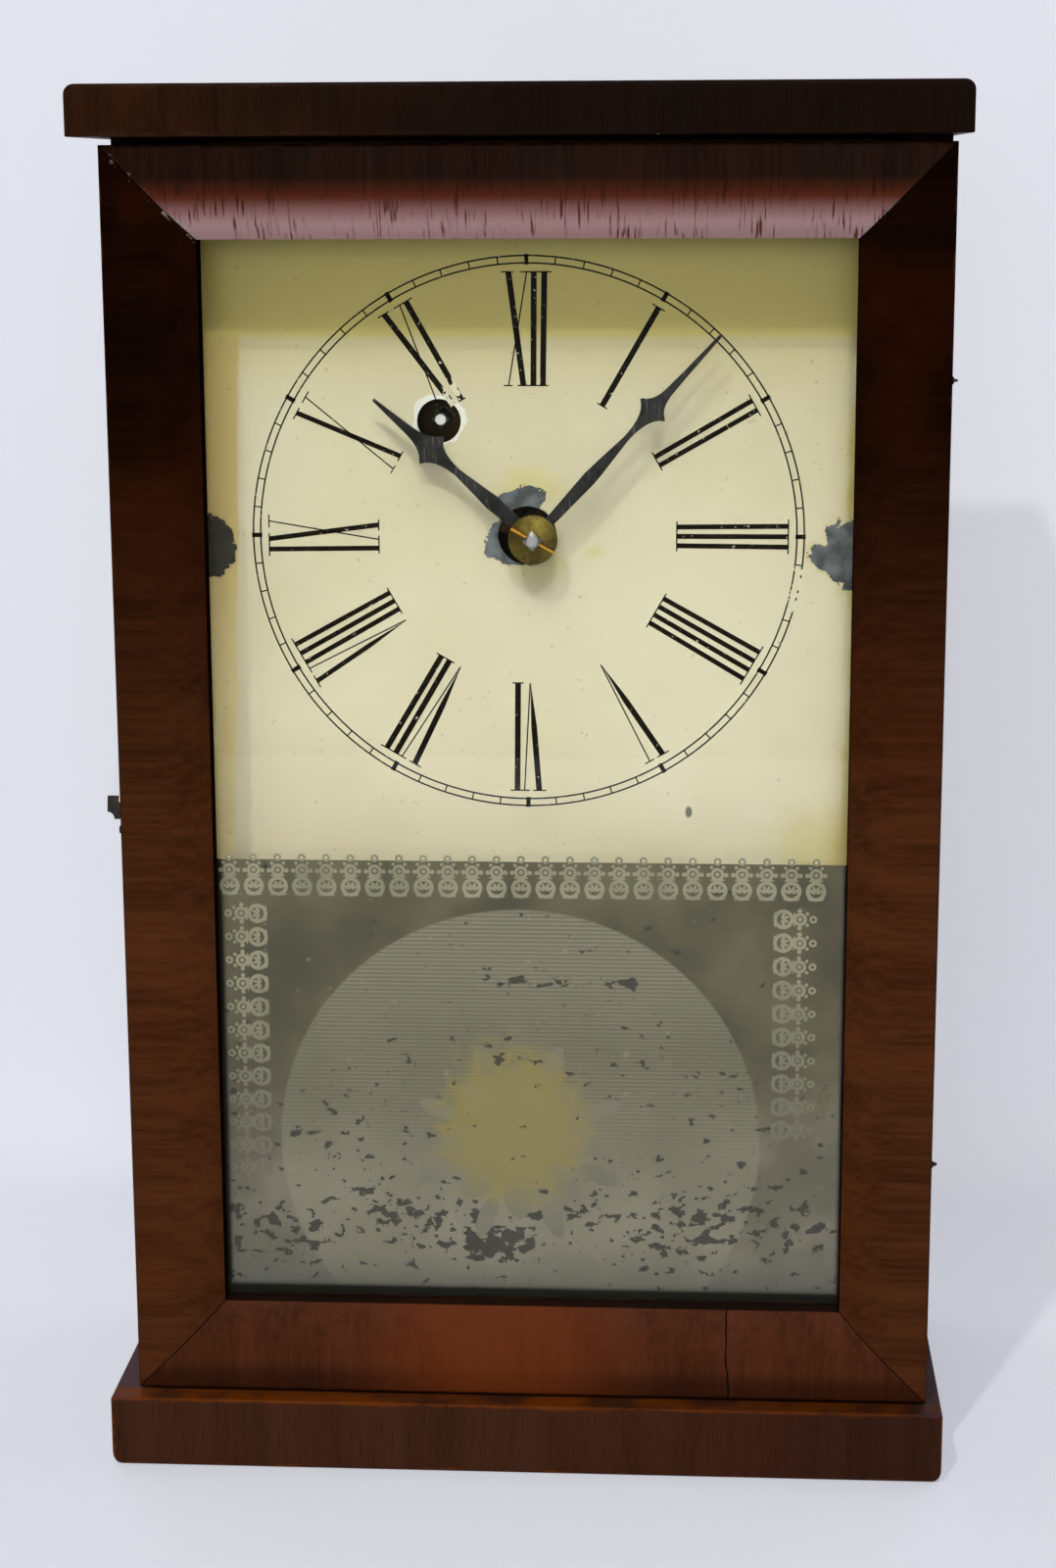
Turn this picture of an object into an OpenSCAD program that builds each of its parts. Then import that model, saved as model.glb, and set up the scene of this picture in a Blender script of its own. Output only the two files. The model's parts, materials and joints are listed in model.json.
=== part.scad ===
// Box clock: a veneered case with one glazed door, a sheet dial and a short pendulum movement.
// X runs to the right, Y from front to back and Z up. The origin is at the middle of the footprint.
// Depths named v are measured backwards from the front face of the door.

/* [Case] */
// Overall height of the clock
clock_h = 305; // [290:1:330]
// Width of the top board
top_w = 184.6; // [182:0.2:200]
// Depth of the top board, from front to back
top_d = 102; // [98:1:120]
// Thickness of the top board
top_t = 10.6; // [8:0.2:14]
// How far the top board stands out past the face of the door
top_front = 10.6; // [4:0.2:14]
// Radius of the top board's rounded ends
top_round = 2.2; // [1:0.1:4]
// Width of the base board
base_w = 187; // [184:0.2:204]
// Thickness of the base board
base_t = 16.3; // [12:0.1:20]
// How far the base board stands out past the face of the door
base_front = 4.7; // [2:0.1:9]
// Radius of the base board's rounded lower ends
base_round = 3; // [1:0.1:5]
// Radius worn along the front edges of both boards
board_edge = 1; // [0.4:0.1:2]
// Width over the case sides, and of the door
case_w = 178; // [174:0.5:180]
// How far the case stands to the right of the middle of the boards
case_shift = 1.1; // [0:0.1:2]
// Thickness of a case side
side_t = 9; // [7:0.5:10]
// Thickness of the backboard
back_t = 6; // [4:0.5:8]
// Width of the backboard's rebate in a case side
back_rebate = 4; // [2:0.5:5]

/* [Door] */
// Thickness of the door
door_t = 14; // [13:0.5:16]
// Gap below the door
door_gap_low = 0.6; // [0.4:0.1:1.2]
// Gap above the door
door_gap_top = 1.5; // [0.8:0.1:2]
// Gap between the back of the door and the case
door_gap_back = 0.3; // [0.2:0.05:0.5]
// Width of the rails and stiles
rail_w = 19.5; // [18:0.5:24]
// Width of the flat outer band on a rail, before it rounds over
rail_flat = 6.7; // [4:0.1:9]
// How far the moulding falls back at the opening
rail_drop = 4.5; // [3:0.1:6]
// Radius worn on the outer edge of the door
rail_edge = 0.8; // [0.4:0.1:1.5]
// Depth of the square lip between the moulding and the glass
lip_d = 5; // [3:0.1:5.5]
// Thickness of the glass
glass_t = 2; // [1.5:0.1:2.5]
// How far the rails cover the edge of the glass
glass_cover = 4; // [3:0.5:6]
// Clearance round the glass
glass_play = 0.4; // [0.2:0.1:0.8]
// Width of a glazing strip
strip_w = 3; // [2:0.2:3.6]
// Thickness of a glazing strip
strip_t = 2; // [1.5:0.1:2.4]

/* [Hinges and hook] */
// Distance from the bottom of the door to the middle of the lower hinge
hinge_from_low = 51.5; // [30:0.5:70]
// Distance from the top of the door to the middle of the upper hinge
hinge_from_top = 49.5; // [30:0.5:70]
// Distance of the hinge axis outside the case side
hinge_reach = 1.3; // [1.25:0.05:1.6]
// Radius of a hinge eye, to the middle of its wire
eye_r = 0.68; // [0.64:0.02:0.7]
// Radius of the wire of a hinge eye
eye_wire_r = 0.28; // [0.2:0.02:0.28]
// Radius of the leg by which a hinge eye is driven into the wood
eye_leg_r = 0.36; // [0.3:0.02:0.4]
// Length of that leg
eye_leg_len = 9; // [7:0.5:10]
// Height of the hook's screw above the table
hook_h = 145; // [130:0.5:180]
// Length of the hook, from its screw to the catch pin
hook_len = 19.3; // [16:0.1:24]
// Thickness of the hook
hook_t = 1.4; // [1:0.1:1.8]
// Width of the hook's arm
hook_w = 3.4; // [3:0.1:4.4]
// Depth of the catch pin behind the face of the door
catch_v = 9; // [8:0.1:10]
// Radius of the catch pin
catch_r = 0.9; // [0.7:0.1:1.1]
// Angle by which the hook is drawn lifted clear of the catch pin
hook_lift = 12; // [11:0.5:20]

/* [Dial and hands] */
// Distance of the hand arbor below the top board
arbor_drop = 85.9; // [84:0.1:92]
// How far the hand arbor stands to the right of the middle of the case
arbor_shift = 0.4; // [-1:0.1:1]
// How far the dial's middle stands to the left of the middle of the case
dial_shift = 1.3; // [0:0.1:2]
// Depth of the dial behind the front edge of the case
dial_inset = 12.7; // [12:0.1:14]
// Gap between the dial and each case side
dial_play = 2; // [1:0.1:3]
// Height of the dial above its middle
dial_up = 78; // [70:0.5:80]
// Height of the dial below its middle
dial_down = 80; // [76:0.5:90]
// Thickness of the dial
dial_t = 0.8; // [0.5:0.1:1.2]
// Radius of the dial's middle hole
dial_hole_r = 6.5; // [5:0.1:8]
// Radius of the winding hole
key_hole_r = 4.85; // [4.5:0.05:6]
// Width of a dial block
block_w = 8; // [6:0.5:9]
// Depth of a dial block
block_d = 12; // [8:0.5:14]
// Length of the minute hand, from the arbor to its tip
minute_len = 59.8; // [50:0.2:60.5]
// Length of the hour hand, from the arbor to its tip
hour_len = 46.2; // [36:0.2:50]
// Thickness of the hands
hand_t = 0.7; // [0.5:0.1:1]
// Gap between the dial and the hour hand
hour_gap = 5; // [3:0.1:5.4]
// Gap between the two hands
hands_gap = 1.6; // [1:0.1:2]
// Radius of the dished washer
washer_r = 5.4; // [4.8:0.1:6]
// Thickness of the dished washer
washer_t = 1; // [0.8:0.1:1.2]
// Angle of the minute hand, clockwise from the top
minute_angle = 42.6; // [0:0.1:360]
// Angle of the hour hand, clockwise from the top
hour_angle = 310.9; // [0:0.1:360]
// Slope of the pin through the hand arbor, below the horizontal
pin_slope = 29; // [0:1:90]
// Side of the hand arbor's square
square_w = 3.1; // [2.6:0.1:3.1]
// Side of the winding square
key_square_w = 2.9; // [2.6:0.1:3.2]

/* [Movement] */
// Thickness of the plates
plate_t = 1.6; // [1.2:0.1:2]
// Distance between the plates
plate_gap = 24; // [24:0.5:25]
// Gap between the dial and the front plate
plate_inset = 13.2; // [13.2:0.1:14]
// Radius of the pillars
pillar_r = 2.5; // [2:0.1:3]
// Direction from the hand arbor to the winding arbor, anticlockwise from the right
winding_dir = 130; // [128:0.5:132]
// Direction from the hand arbor to the third arbor
third_dir = 35; // [33:0.5:37]
// Direction from the third arbor to the escape arbor
escape_dir = 110; // [108:0.5:112]
// Direction from the hand arbor to the minute wheel
minute_wheel_dir = 215; // [205:1:225]
// Teeth on the great wheel
great_teeth = 72; // [72:1:74]
// Leaves on the centre pinion
centre_leaves = 10; // [10:1:10]
// Module of the great wheel
great_module = 0.8; // [0.79:0.01:0.81]
// Teeth on the centre wheel
centre_teeth = 72; // [70:2:74]
// Teeth on the third wheel
third_teeth = 60; // [58:2:62]
// Leaves on the third and escape pinions
fast_leaves = 6; // [6:1:6]
// Module of the centre wheel
centre_module = 0.55; // [0.54:0.01:0.56]
// Module of the third wheel
third_module = 0.5; // [0.49:0.01:0.51]
// Teeth on the escape wheel
escape_teeth = 36; // [36:2:40]
// Radius of the escape wheel
escape_r = 13; // [12.5:0.1:13.4]
// Leaves on the hand arbor's pinion
cannon_leaves = 14; // [14:1:14]
// Teeth on the minute wheel, three times the leaves that drive it
minute_teeth = 42; // [42:3:42]
// Leaves on the minute wheel's pinion
minute_leaves = 10; // [10:1:10]
// Teeth on the hour wheel, four times the leaves that drive it
hour_teeth = 40; // [40:4:40]
// Module of the minute wheel
minute_module = 0.5; // [0.49:0.01:0.51]
// Teeth on the ratchet wheel
ratchet_teeth = 20; // [16:4:24]
// Radius of the ratchet wheel
ratchet_r = 9; // [8.5:0.1:9.5]
// Width of the mainspring
spring_w = 10.4; // [8:0.1:10.4]
// Turns of the mainspring
spring_turns = 7; // [5:1:8]
// Thickness of the mainspring
spring_t = 0.4; // [0.3:0.05:0.5]
// Radius of the pendulum bob
bob_r = 17; // [14:0.5:20]
// Thickness of the pendulum bob
bob_t = 7; // [5:0.5:8]
// Radius of the pendulum rod
rod_r = 0.7; // [0.5:0.05:0.8]
// Radial clearance of a running fit
fit = 0.05; // [0.03:0.01:0.08]

/* [Hidden] */
$fn = 48;

// Case places
front_y = -top_d / 2 + top_front;
case_v = door_t + door_gap_back;
back_v = top_d - top_front;
case_h = clock_h - base_t - top_t;
inner_w = case_w - 2 * side_t;
case_left = case_shift - case_w / 2;
case_right = case_shift + case_w / 2;
door_low = base_t + door_gap_low;
door_high = clock_h - top_t - door_gap_top;
door_h = door_high - door_low;
door_mid = (door_low + door_high) / 2;
glass_v = rail_drop + lip_d;
rebate_w = rail_w - glass_cover;
hinge_heights = [door_low + hinge_from_low, door_high - hinge_from_top];
hinge_x = case_right + hinge_reach;
hinge_v = door_t + door_gap_back / 2;

// Dial and hand places
hand_x = case_shift + arbor_shift;
hand_z = clock_h - top_t - arbor_drop;
dial_x = case_shift - dial_shift;
dial_v = case_v + dial_inset;
dial_w = inner_w - 2 * dial_play;
dial_low = hand_z - dial_down;
dial_high = hand_z + dial_up;
hour_hand_v = dial_v - hour_gap - hand_t;
minute_hand_v = hour_hand_v - hands_gap - hand_t;
washer_v = minute_hand_v - washer_t;
hand_pin_r = 0.45;
hand_pin_v = washer_v - hand_pin_r - 0.1;
arbor_tip_v = hand_pin_v - 1.5;
hand_r = square_w / sqrt(2) + 0.01;
pipe_r = 3;
pipe_bore_r = hand_r + fit;

// Movement places, with the hand arbor at zero in X and Z
front_plate_v = dial_v + dial_t + plate_inset;
gap_v = front_plate_v + plate_t;
back_plate_v = gap_v + plate_gap;
seat_v = back_plate_v + plate_t;
inside_back_v = back_v - back_t;
great_d = great_module * (great_teeth + centre_leaves) / 2;
third_d = centre_module * (centre_teeth + fast_leaves) / 2;
escape_d = third_module * (third_teeth + fast_leaves) / 2;
minute_d = minute_module * (minute_teeth + cannon_leaves) / 2;
hour_module = 2 * minute_d / (hour_teeth + minute_leaves);
winding_at = great_d * [cos(winding_dir), sin(winding_dir)];
third_at = third_d * [cos(third_dir), sin(third_dir)];
escape_at = third_at + escape_d * [cos(escape_dir), sin(escape_dir)];
minute_at = minute_d * [cos(minute_wheel_dir), sin(minute_wheel_dir)];

// Each train wheel has a middle plane, and its pinion's collets stand clear of it on both sides
wheel_t = 1.2;
great_t = 2;
escape_t = 0.8;
collet_t = 0.9;
collet_gap = 0.4;
minute_clear = 4.4;
hour_clear = 3.3;
centre_v = gap_v + 2.6;
escape_v = gap_v + 6.4;
third_v = gap_v + 13;
great_v = gap_v + 18.4;
minute_v = front_plate_v - minute_clear;
hour_v = dial_v + dial_t + hour_clear;
ratchet_t = 1.6;
ratchet_v = great_v - great_t / 2 - 0.2 - ratchet_t;
spring_v = ratchet_v - 0.6 - spring_w;

// Arbor radii
train_r = 0.6;
centre_r = 1.5;
centre_pivot_r = 0.8;
pivot_r = 0.5;
winding_r = 3;
winding_pivot_r = 2.3;
winding_back_r = 1.6;
great_seat_r = 2.6;
great_disc_r = 17.5;
stud_r = 0.8;
pivot_end = 0.3;
key_clear = 3.2;
key_tip_v = dial_v + dial_t + key_clear;

// Trundle radii, the play between teeth and trundles, and how far the trundle's path climbs a tooth
great_trundle_r = 0.6;
centre_trundle_r = 0.42;
third_trundle_r = 0.38;
minute_trundle_r = 0.38;
hour_trundle_r = 0.42;
tooth_play = 0.06;
tooth_reach = 1.5;

// Escapement: the strip spans an odd number of half teeth, and hangs just clear of the wheel
span_teeth = 7.5;
span_half = span_teeth * 360 / escape_teeth / 2;
pallet_play = 0.12;
verge_d = escape_r / cos(span_half);
verge_at = escape_at + [0, verge_d];
pallet_len = verge_d * sin(span_half);
strip_thick = 0.6;
verge_strip_w = 2.8;

// Pendulum: its length gives the beat that the train counts in an hour
beats_per_hour = 2 * escape_teeth * centre_teeth * third_teeth / fast_leaves / fast_leaves;
gravity = 9810;
pendulum_len = gravity * pow(3600 / beats_per_hour / PI, 2);
pendulum_clear = 5.2;
crutch_clear = 2;
post_up = 9;
post_r = 1;
pendulum_v = front_plate_v - pendulum_clear;
crutch_v = front_plate_v - crutch_clear;
crutch_len = 26;
crutch_r = 0.5;
ferrule_r = 1.3;
ferrule_h = 4;
flex_w = 2.4;
flex_t = 0.2;
nut_h = 3;
nut_r = 3.6;

// Plates
plate_left = -52;
plate_right = 41;
plate_low = -30;
plate_high = 58;
pillar_places = [[-44, 50], [34, 50], [-44, -22], [34, -22]];
pillar_tenon_r = 1.5;
pillar_pin_r = 0.4;
pillar_pin_len = 7;
plate_screw_places = [[-26, 54], [22, 54], [-26, -26], [22, -26]];
plate_screw_r = 1.2;
plate_windows = [[-36, -17, 24, 16], [6, -17, 20, 18], [24, 22, 13, 20], [-16, 36, 20, 17],
    [-48, 2, 12, 38], [-10, 7, 12, 14]];
seat_h = 10;
seat_len = 120;
seat_screw_len = (inside_back_v - seat_v) / 2;

// Small fasteners
screw_head_t = 0.8;
small_screw_r = 0.6;
screw_play = 0.02;
dial_screw_len = 6;
dial_screw_x = (inner_w / 2 - block_w + dial_w / 2) / 2;
dial_screw_places = [for (s = [-1, 1], z = [dial_low + 5, hand_z, dial_high - 5])
    [case_shift + s * dial_screw_x, z]];

// Points on an arc from angle a to angle b
function arc(c, r, a, b, n) = [for (i = [0:n]) c + r * [cos(a + (b - a) * i / n), sin(a + (b - a) * i / n)]];

// Points on a curve from p to q that bends towards c
function bend(p, c, q, n) =
    [for (i = [0:n]) let(s = i / n) (1 - s) * (1 - s) * p + 2 * s * (1 - s) * c + s * s * q];

function spun(p, a) = [p[0] * cos(a) - p[1] * sin(a), p[0] * sin(a) + p[1] * cos(a)];

// The outline of a strip of thickness t that follows a line
function ribbon(line, t) =
    let(n = len(line) - 1,
        way = [for (i = [0:n]) let(d = line[min(i + 1, n)] - line[max(i - 1, 0)]) d / norm(d)],
        off = [for (w = way) t / 2 * [-w[1], w[0]]])
    concat([for (i = [0:n]) line[i] + off[i]], [for (i = [n:-1:0]) line[i] - off[i]]);

function flipped(pts) = [for (i = [len(pts) - 1:-1:0]) [-pts[i][0], pts[i][1]]];

// A wheel tooth's flank is the path of a trundle that rolls past the wheel, moved in by the trundle's radius
function flank_point(wheel_r, pinion_r, r, t) =
    let(turn = t * (wheel_r + pinion_r) / pinion_r,
        path = [(wheel_r + pinion_r) * cos(t) - pinion_r * cos(turn),
                (wheel_r + pinion_r) * sin(t) - pinion_r * sin(turn)],
        pitch = wheel_r * [cos(t), sin(t)])
    t == 0 ? [wheel_r, r] : path + r * (pitch - path) / norm(pitch - path);

// The outline of a wheel that turns a lantern pinion
function wheel_points(teeth, leaves, m, trundle_r) =
    let(wheel_r = m * teeth / 2,
        pinion_r = m * leaves / 2,
        r = trundle_r + tooth_play,
        reach = wheel_r + tooth_reach * m,
        sum = wheel_r + pinion_r,
        t_end = acos((sum * sum + pinion_r * pinion_r - reach * reach) / (2 * pinion_r * sum))
            * pinion_r / wheel_r,
        half = 180 / teeth,
        root = [wheel_r - r - 0.12, 0.7 * r],
        low = [for (s = [0, 0.7, 1]) flank_point(wheel_r, pinion_r, r, s * t_end)],
        side = [for (p = concat([root], low)) spun(p, -half)],
        tooth = concat(side, [for (i = [3:-1:0]) [side[i][0], -side[i][1]]]))
    [for (i = [0:teeth - 1], p = tooth) spun(p, i * 360 / teeth)];

// Frames and simple solids
module movement() {
    translate([hand_x, 0, hand_z]) children();
}

// A flat shape drawn in X and Z, standing from depth a to depth b
module slab(a, b) {
    translate([0, front_y + b, 0]) rotate([90, 0, 0]) linear_extrude(b - a) children();
}

module bar(at, a, b, r) {
    translate([at[0], front_y + b, at[1]]) rotate([90, 0, 0]) cylinder(h = b - a, r = r);
}

module board(w, h, d, round_low, round_high, edge_low, edge_high) {
    intersection() {
        translate([0, d / 2, 0]) rotate([90, 0, 0]) linear_extrude(d)
            polygon(concat(
                arc([-w / 2 + round_low, round_low], round_low, 180, 270, 8),
                arc([w / 2 - round_low, round_low], round_low, 270, 360, 8),
                arc([w / 2 - round_high, h - round_high], round_high, 0, 90, 8),
                arc([-w / 2 + round_high, h - round_high], round_high, 90, 180, 8)));
        rotate([90, 0, 90]) translate([0, 0, -w / 2]) linear_extrude(w)
            polygon(concat(
                [[d / 2, 0], [d / 2, h]],
                arc([-d / 2 + edge_high, h - edge_high], edge_high, 90, 180, 6),
                arc([-d / 2 + edge_low, edge_low], edge_low, 180, 270, 6)));
    }
}

// Boards and case
module base_board() {
    depth = back_v + base_front;
    color("saddlebrown") translate([0, top_d / 2 - depth / 2, 0])
        board(base_w, base_t, depth, base_round, 0.4, board_edge, 0.5);
}

module top_board() {
    color("saddlebrown") translate([0, 0, clock_h - top_t])
        board(top_w, top_t, top_d, 0.3, top_round, 0.4, board_edge);
}

module case_side(inward) {
    depth = back_v - case_v;
    color("sienna") difference() {
        translate([inward > 0 ? 0 : -side_t, front_y + case_v, base_t]) cube([side_t, depth, case_h]);
        translate([inward > 0 ? side_t - back_rebate : -side_t - 1, front_y + inside_back_v, base_t - 1])
            cube([back_rebate + 1, back_t + 1, case_h + 2]);
        children();
    }
}

module case_side_left() {
    translate([case_left, 0, 0]) case_side(1) translate([-1, 0, 0]) hook_screw_hole();
}

module case_side_right() {
    translate([case_right, 0, 0]) case_side(-1)
        translate([-case_right, 0, 0]) eye_holes(1);
}

module back_board() {
    w = inner_w + 2 * back_rebate;
    color("burlywood") translate([case_shift - w / 2, front_y + inside_back_v, base_t])
        cube([w, back_t, case_h]);
}

module dial_block(x) {
    color("burlywood") difference() {
        translate([x, front_y + dial_v + dial_t, dial_low]) cube([block_w, block_d, dial_high - dial_low]);
        dial_screw_holes();
    }
}

module dial_block_left() {
    dial_block(case_left + side_t);
}

module dial_block_right() {
    dial_block(case_right - side_t - block_w);
}

// Door
module rail_profile() {
    reach = rail_w - rail_flat;
    sweep = 2 * atan(rail_drop / reach);
    round_r = (reach * reach + rail_drop * rail_drop) / (2 * rail_drop);
    polygon(concat(
        [[door_t, 0]],
        arc([rail_edge, rail_edge], rail_edge, 270, 180, 5),
        arc([round_r, rail_flat], round_r, 180, 180 - sweep, 14),
        [[glass_v, rail_w], [glass_v, rebate_w], [door_t, rebate_w]]));
}

// One member of the frame, lying along X with its outer edge at zero and both ends mitred
module rail(length) {
    intersection() {
        translate([-length / 2, 0, 0]) rotate([90, 0, 90]) linear_extrude(length) rail_profile();
        translate([0, door_t + 1, 0]) rotate([90, 0, 0]) linear_extrude(door_t + 2)
            polygon([[-length / 2, 0], [length / 2, 0],
                [length / 2 - rail_w - 1, rail_w + 1], [-length / 2 + rail_w + 1, rail_w + 1]]);
    }
}

module door_rail_top() {
    color("saddlebrown") translate([case_shift, front_y, door_high]) mirror([0, 0, 1]) rail(case_w);
}

module door_rail_bottom() {
    color("saddlebrown") translate([case_shift, front_y, door_low]) rail(case_w);
}

module door_stile_left() {
    color("sienna") difference() {
        translate([case_left, front_y, door_mid]) rotate([0, 90, 0]) rail(door_h);
        catch_pin_hole();
    }
}

module door_stile_right() {
    color("sienna") difference() {
        translate([case_right, front_y, door_mid]) mirror([1, 0, 0]) rotate([0, 90, 0]) rail(door_h);
        eye_holes(-1);
    }
}

module glass_pane() {
    w = case_w - 2 * rebate_w - 2 * glass_play;
    h = door_h - 2 * rebate_w - 2 * glass_play;
    color("lightblue", 0.4) translate([case_shift - w / 2, front_y + glass_v, door_mid - h / 2])
        cube([w, glass_t, h]);
}

module glazing_strips() {
    w = case_w - 2 * rebate_w - 0.2;
    h = door_h - 2 * rebate_w - 0.2;
    side_len = h - 2 * strip_w - 0.2;
    color("tan") translate([case_shift, front_y + glass_v + glass_t, door_mid]) {
        for (s = [-1, 1]) {
            translate([-w / 2, 0, s > 0 ? h / 2 - strip_w : -h / 2]) cube([w, strip_t, strip_w]);
            translate([s > 0 ? w / 2 - strip_w : -w / 2, 0, -side_len / 2])
                cube([strip_w, strip_t, side_len]);
        }
    }
}

// Hinges: a wire eye lying flat in the case side, linked through an upright one in the door's edge.
// Each is driven in at 45 degrees. Side is 1 for the case and -1 for the door
module at_eye(z, side) {
    translate([hinge_x, front_y + hinge_v, z]) rotate([0, 0, 180 - side * 45])
        translate([side > 0 ? 0 : eye_r, 0, 0]) children();
}

module eye_leg(r) {
    translate([eye_r, 0, 0]) rotate([0, 90, 0]) cylinder(h = eye_leg_len, r = r, $fn = 16);
}

module hinge_eye(z, side) {
    color("dimgray") at_eye(z, side) {
        rotate([side > 0 ? 0 : 90, 0, 0]) rotate_extrude($fn = 24)
            translate([eye_r, 0]) circle(eye_wire_r, $fn = 16);
        eye_leg(eye_leg_r);
    }
}

module eye_holes(side) {
    for (z = hinge_heights)
        at_eye(z, side) eye_leg(eye_leg_r + screw_play);
}

module hinge_upper_case_eye() {
    hinge_eye(hinge_heights[1], 1);
}

module hinge_lower_case_eye() {
    hinge_eye(hinge_heights[0], 1);
}

module hinge_upper_door_eye() {
    hinge_eye(hinge_heights[1], -1);
}

module hinge_lower_door_eye() {
    hinge_eye(hinge_heights[0], -1);
}

// Hook: it turns on a screw in the left case side and drops over a pin in the edge of the door
hook_v = catch_v + hook_len;
hook_clear = 0.3;
hook_screw_r = 0.8;
hook_screw_len = 5.5;
catch_pin_len = 7;
hook_nose = 2.6;
hook_mouth = catch_r + 0.35;

module hook_screw_hole() {
    translate([0, front_y + hook_v, hook_h]) rotate([0, 90, 0])
        cylinder(h = hook_screw_len + 1.5, r = hook_screw_r + screw_play);
}

module hook_screw() {
    out = hook_clear + hook_t + 0.15;
    color("gray") translate([case_left, front_y + hook_v, hook_h]) {
        translate([-out, 0, 0]) rotate([0, 90, 0]) cylinder(h = out + hook_screw_len, r = hook_screw_r);
        translate([-out - screw_head_t, 0, 0]) rotate([0, 90, 0]) cylinder(h = screw_head_t, r = 1.7);
    }
}

module hook_outline() {
    half = hook_w / 2;
    tip = hook_len + hook_mouth + hook_nose;
    difference() {
        union() {
            circle(r = 2.2);
            polygon([[0, -half + 0.4], [0, half], [-hook_len - 1.2, half + 0.5],
                [-tip, half + 0.2], [-tip, -half], [-hook_len + hook_mouth + 1.4, -half]]);
        }
        circle(r = hook_screw_r + fit);
        translate([-hook_len, 0]) circle(r = hook_mouth);
        translate([-hook_len - hook_mouth, -half - 1]) square([2 * hook_mouth, half + 1]);
    }
}

module door_hook() {
    tab = 1.1;
    tip = hook_len + hook_mouth + hook_nose;
    color("gray") translate([case_left - hook_clear - hook_t, front_y + hook_v, hook_h])
        rotate([-hook_lift, 0, 0]) {
            rotate([90, 0, 90]) linear_extrude(hook_t) hook_outline();
            translate([-2.2, -tip, -hook_w / 2]) difference() {
                cube([2.3, tab, hook_w + 1.8]);
                translate([0, -1, 0]) rotate([-90, 0, 0]) cylinder(h = 4, r = 1.6);
            }
        }
}

module catch_pin_hole() {
    translate([case_left - 1, front_y + catch_v, hook_h]) rotate([0, 90, 0])
        cylinder(h = catch_pin_len + 2, r = catch_r + screw_play);
}

module catch_pin() {
    out = hook_clear + hook_t + 0.2;
    color("gray") translate([case_left - out, front_y + catch_v, hook_h]) rotate([0, 90, 0])
        cylinder(h = out + catch_pin_len, r = catch_r);
}

// Dial
module dial_screw_holes() {
    for (p = dial_screw_places)
        bar(p, dial_v - 1, dial_v + dial_t + dial_screw_len + 1, small_screw_r + screw_play);
}

module dial_plate() {
    color("ivory") difference() {
        translate([case_shift - dial_w / 2, front_y + dial_v, dial_low])
            cube([dial_w, dial_t, dial_high - dial_low]);
        bar([dial_x, hand_z], dial_v - 1, dial_v + dial_t + 1, dial_hole_r);
        movement() bar(winding_at, dial_v - 1, dial_v + dial_t + 1, key_hole_r);
        dial_screw_holes();
    }
}

module dial_screws() {
    head_v = dial_v - 0.05;
    head_r = 1.4;
    color("goldenrod")
        for (p = dial_screw_places) {
            bar(p, head_v, dial_v + dial_t + dial_screw_len, small_screw_r);
            bar(p, head_v - screw_head_t, head_v, head_r);
        }
}

// Movement frame
// An opening whose place and size are given as x, z, width and height
module window(place) {
    translate([place[0], place[1]]) offset(r = 3, $fn = 16) offset(delta = -3)
        square([place[2], place[3]]);
}

module plate_outline() {
    translate([plate_left, plate_low]) offset(r = 4, $fn = 16) offset(delta = -4)
        square([plate_right - plate_left, plate_high - plate_low]);
}

module plate(a, has_screw_holes) {
    difference() {
        slab(a, a + plate_t) difference() {
            plate_outline();
            for (place = plate_windows)
                window(place);
        }
        for (p = pillar_places)
            bar(p, a - 1, a + plate_t + 1, pillar_tenon_r + fit);
        for (p = [third_at, escape_at])
            bar(p, a - 1, a + plate_t + 1, pivot_r + fit);
        bar(verge_at, a - 1, a + plate_t + 1, train_r + fit);
        if (has_screw_holes)
            for (p = plate_screw_places)
                bar(p, a - 1, a + plate_t + 1, plate_screw_r + 0.1);
        children();
    }
}

module front_plate() {
    color("goldenrod") movement() plate(front_plate_v, false) {
        bar([0, 0], front_plate_v - 1, gap_v + 1, hand_r + fit);
        bar(winding_at, front_plate_v - 1, gap_v + 1, winding_pivot_r + fit);
        bar(minute_at, front_plate_v - 1, gap_v + 1, stud_r + screw_play);
        bar(verge_at + [0, post_up], front_plate_v - 1, gap_v + 1, post_r + screw_play);
    }
}

module back_plate() {
    color("goldenrod") movement() plate(back_plate_v, true) {
        bar([0, 0], back_plate_v - 1, seat_v + 1, centre_pivot_r + fit);
        bar(winding_at, back_plate_v - 1, seat_v + 1, winding_back_r + fit);
    }
}

module pillars() {
    color("darkgoldenrod") movement() for (p = pillar_places) {
        bar(p, gap_v, back_plate_v, pillar_r);
        bar(p, back_plate_v, seat_v, pillar_tenon_r);
        difference() {
            bar(p, front_plate_v - 2.4, gap_v, pillar_tenon_r);
            translate([p[0] - 5, front_y + front_plate_v - pillar_pin_r - 0.15, p[1]]) rotate([0, 90, 0])
                cylinder(h = 10, r = pillar_pin_r + fit);
        }
    }
}

module pillar_pins() {
    color("gray") movement() for (p = pillar_places)
        translate([p[0] - pillar_pin_len / 2, front_y + front_plate_v - pillar_pin_r - 0.15, p[1]])
            rotate([0, 90, 0]) cylinder(h = pillar_pin_len, r = pillar_pin_r);
}

module seat_strips() {
    color("burlywood") movement() difference() {
        for (z = [plate_screw_places[0][1], plate_screw_places[2][1]])
            translate([plate_left / 2 + plate_right / 2 - seat_len / 2, front_y + seat_v, z - seat_h / 2])
                cube([seat_len, inside_back_v - seat_v, seat_h]);
        for (p = plate_screw_places)
            bar(p, seat_v - 1, seat_v + seat_screw_len + 1, plate_screw_r + screw_play);
        for (p = pillar_places)
            bar(p, seat_v - 1, seat_v + 0.2, pillar_tenon_r + 0.2);
    }
}

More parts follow.
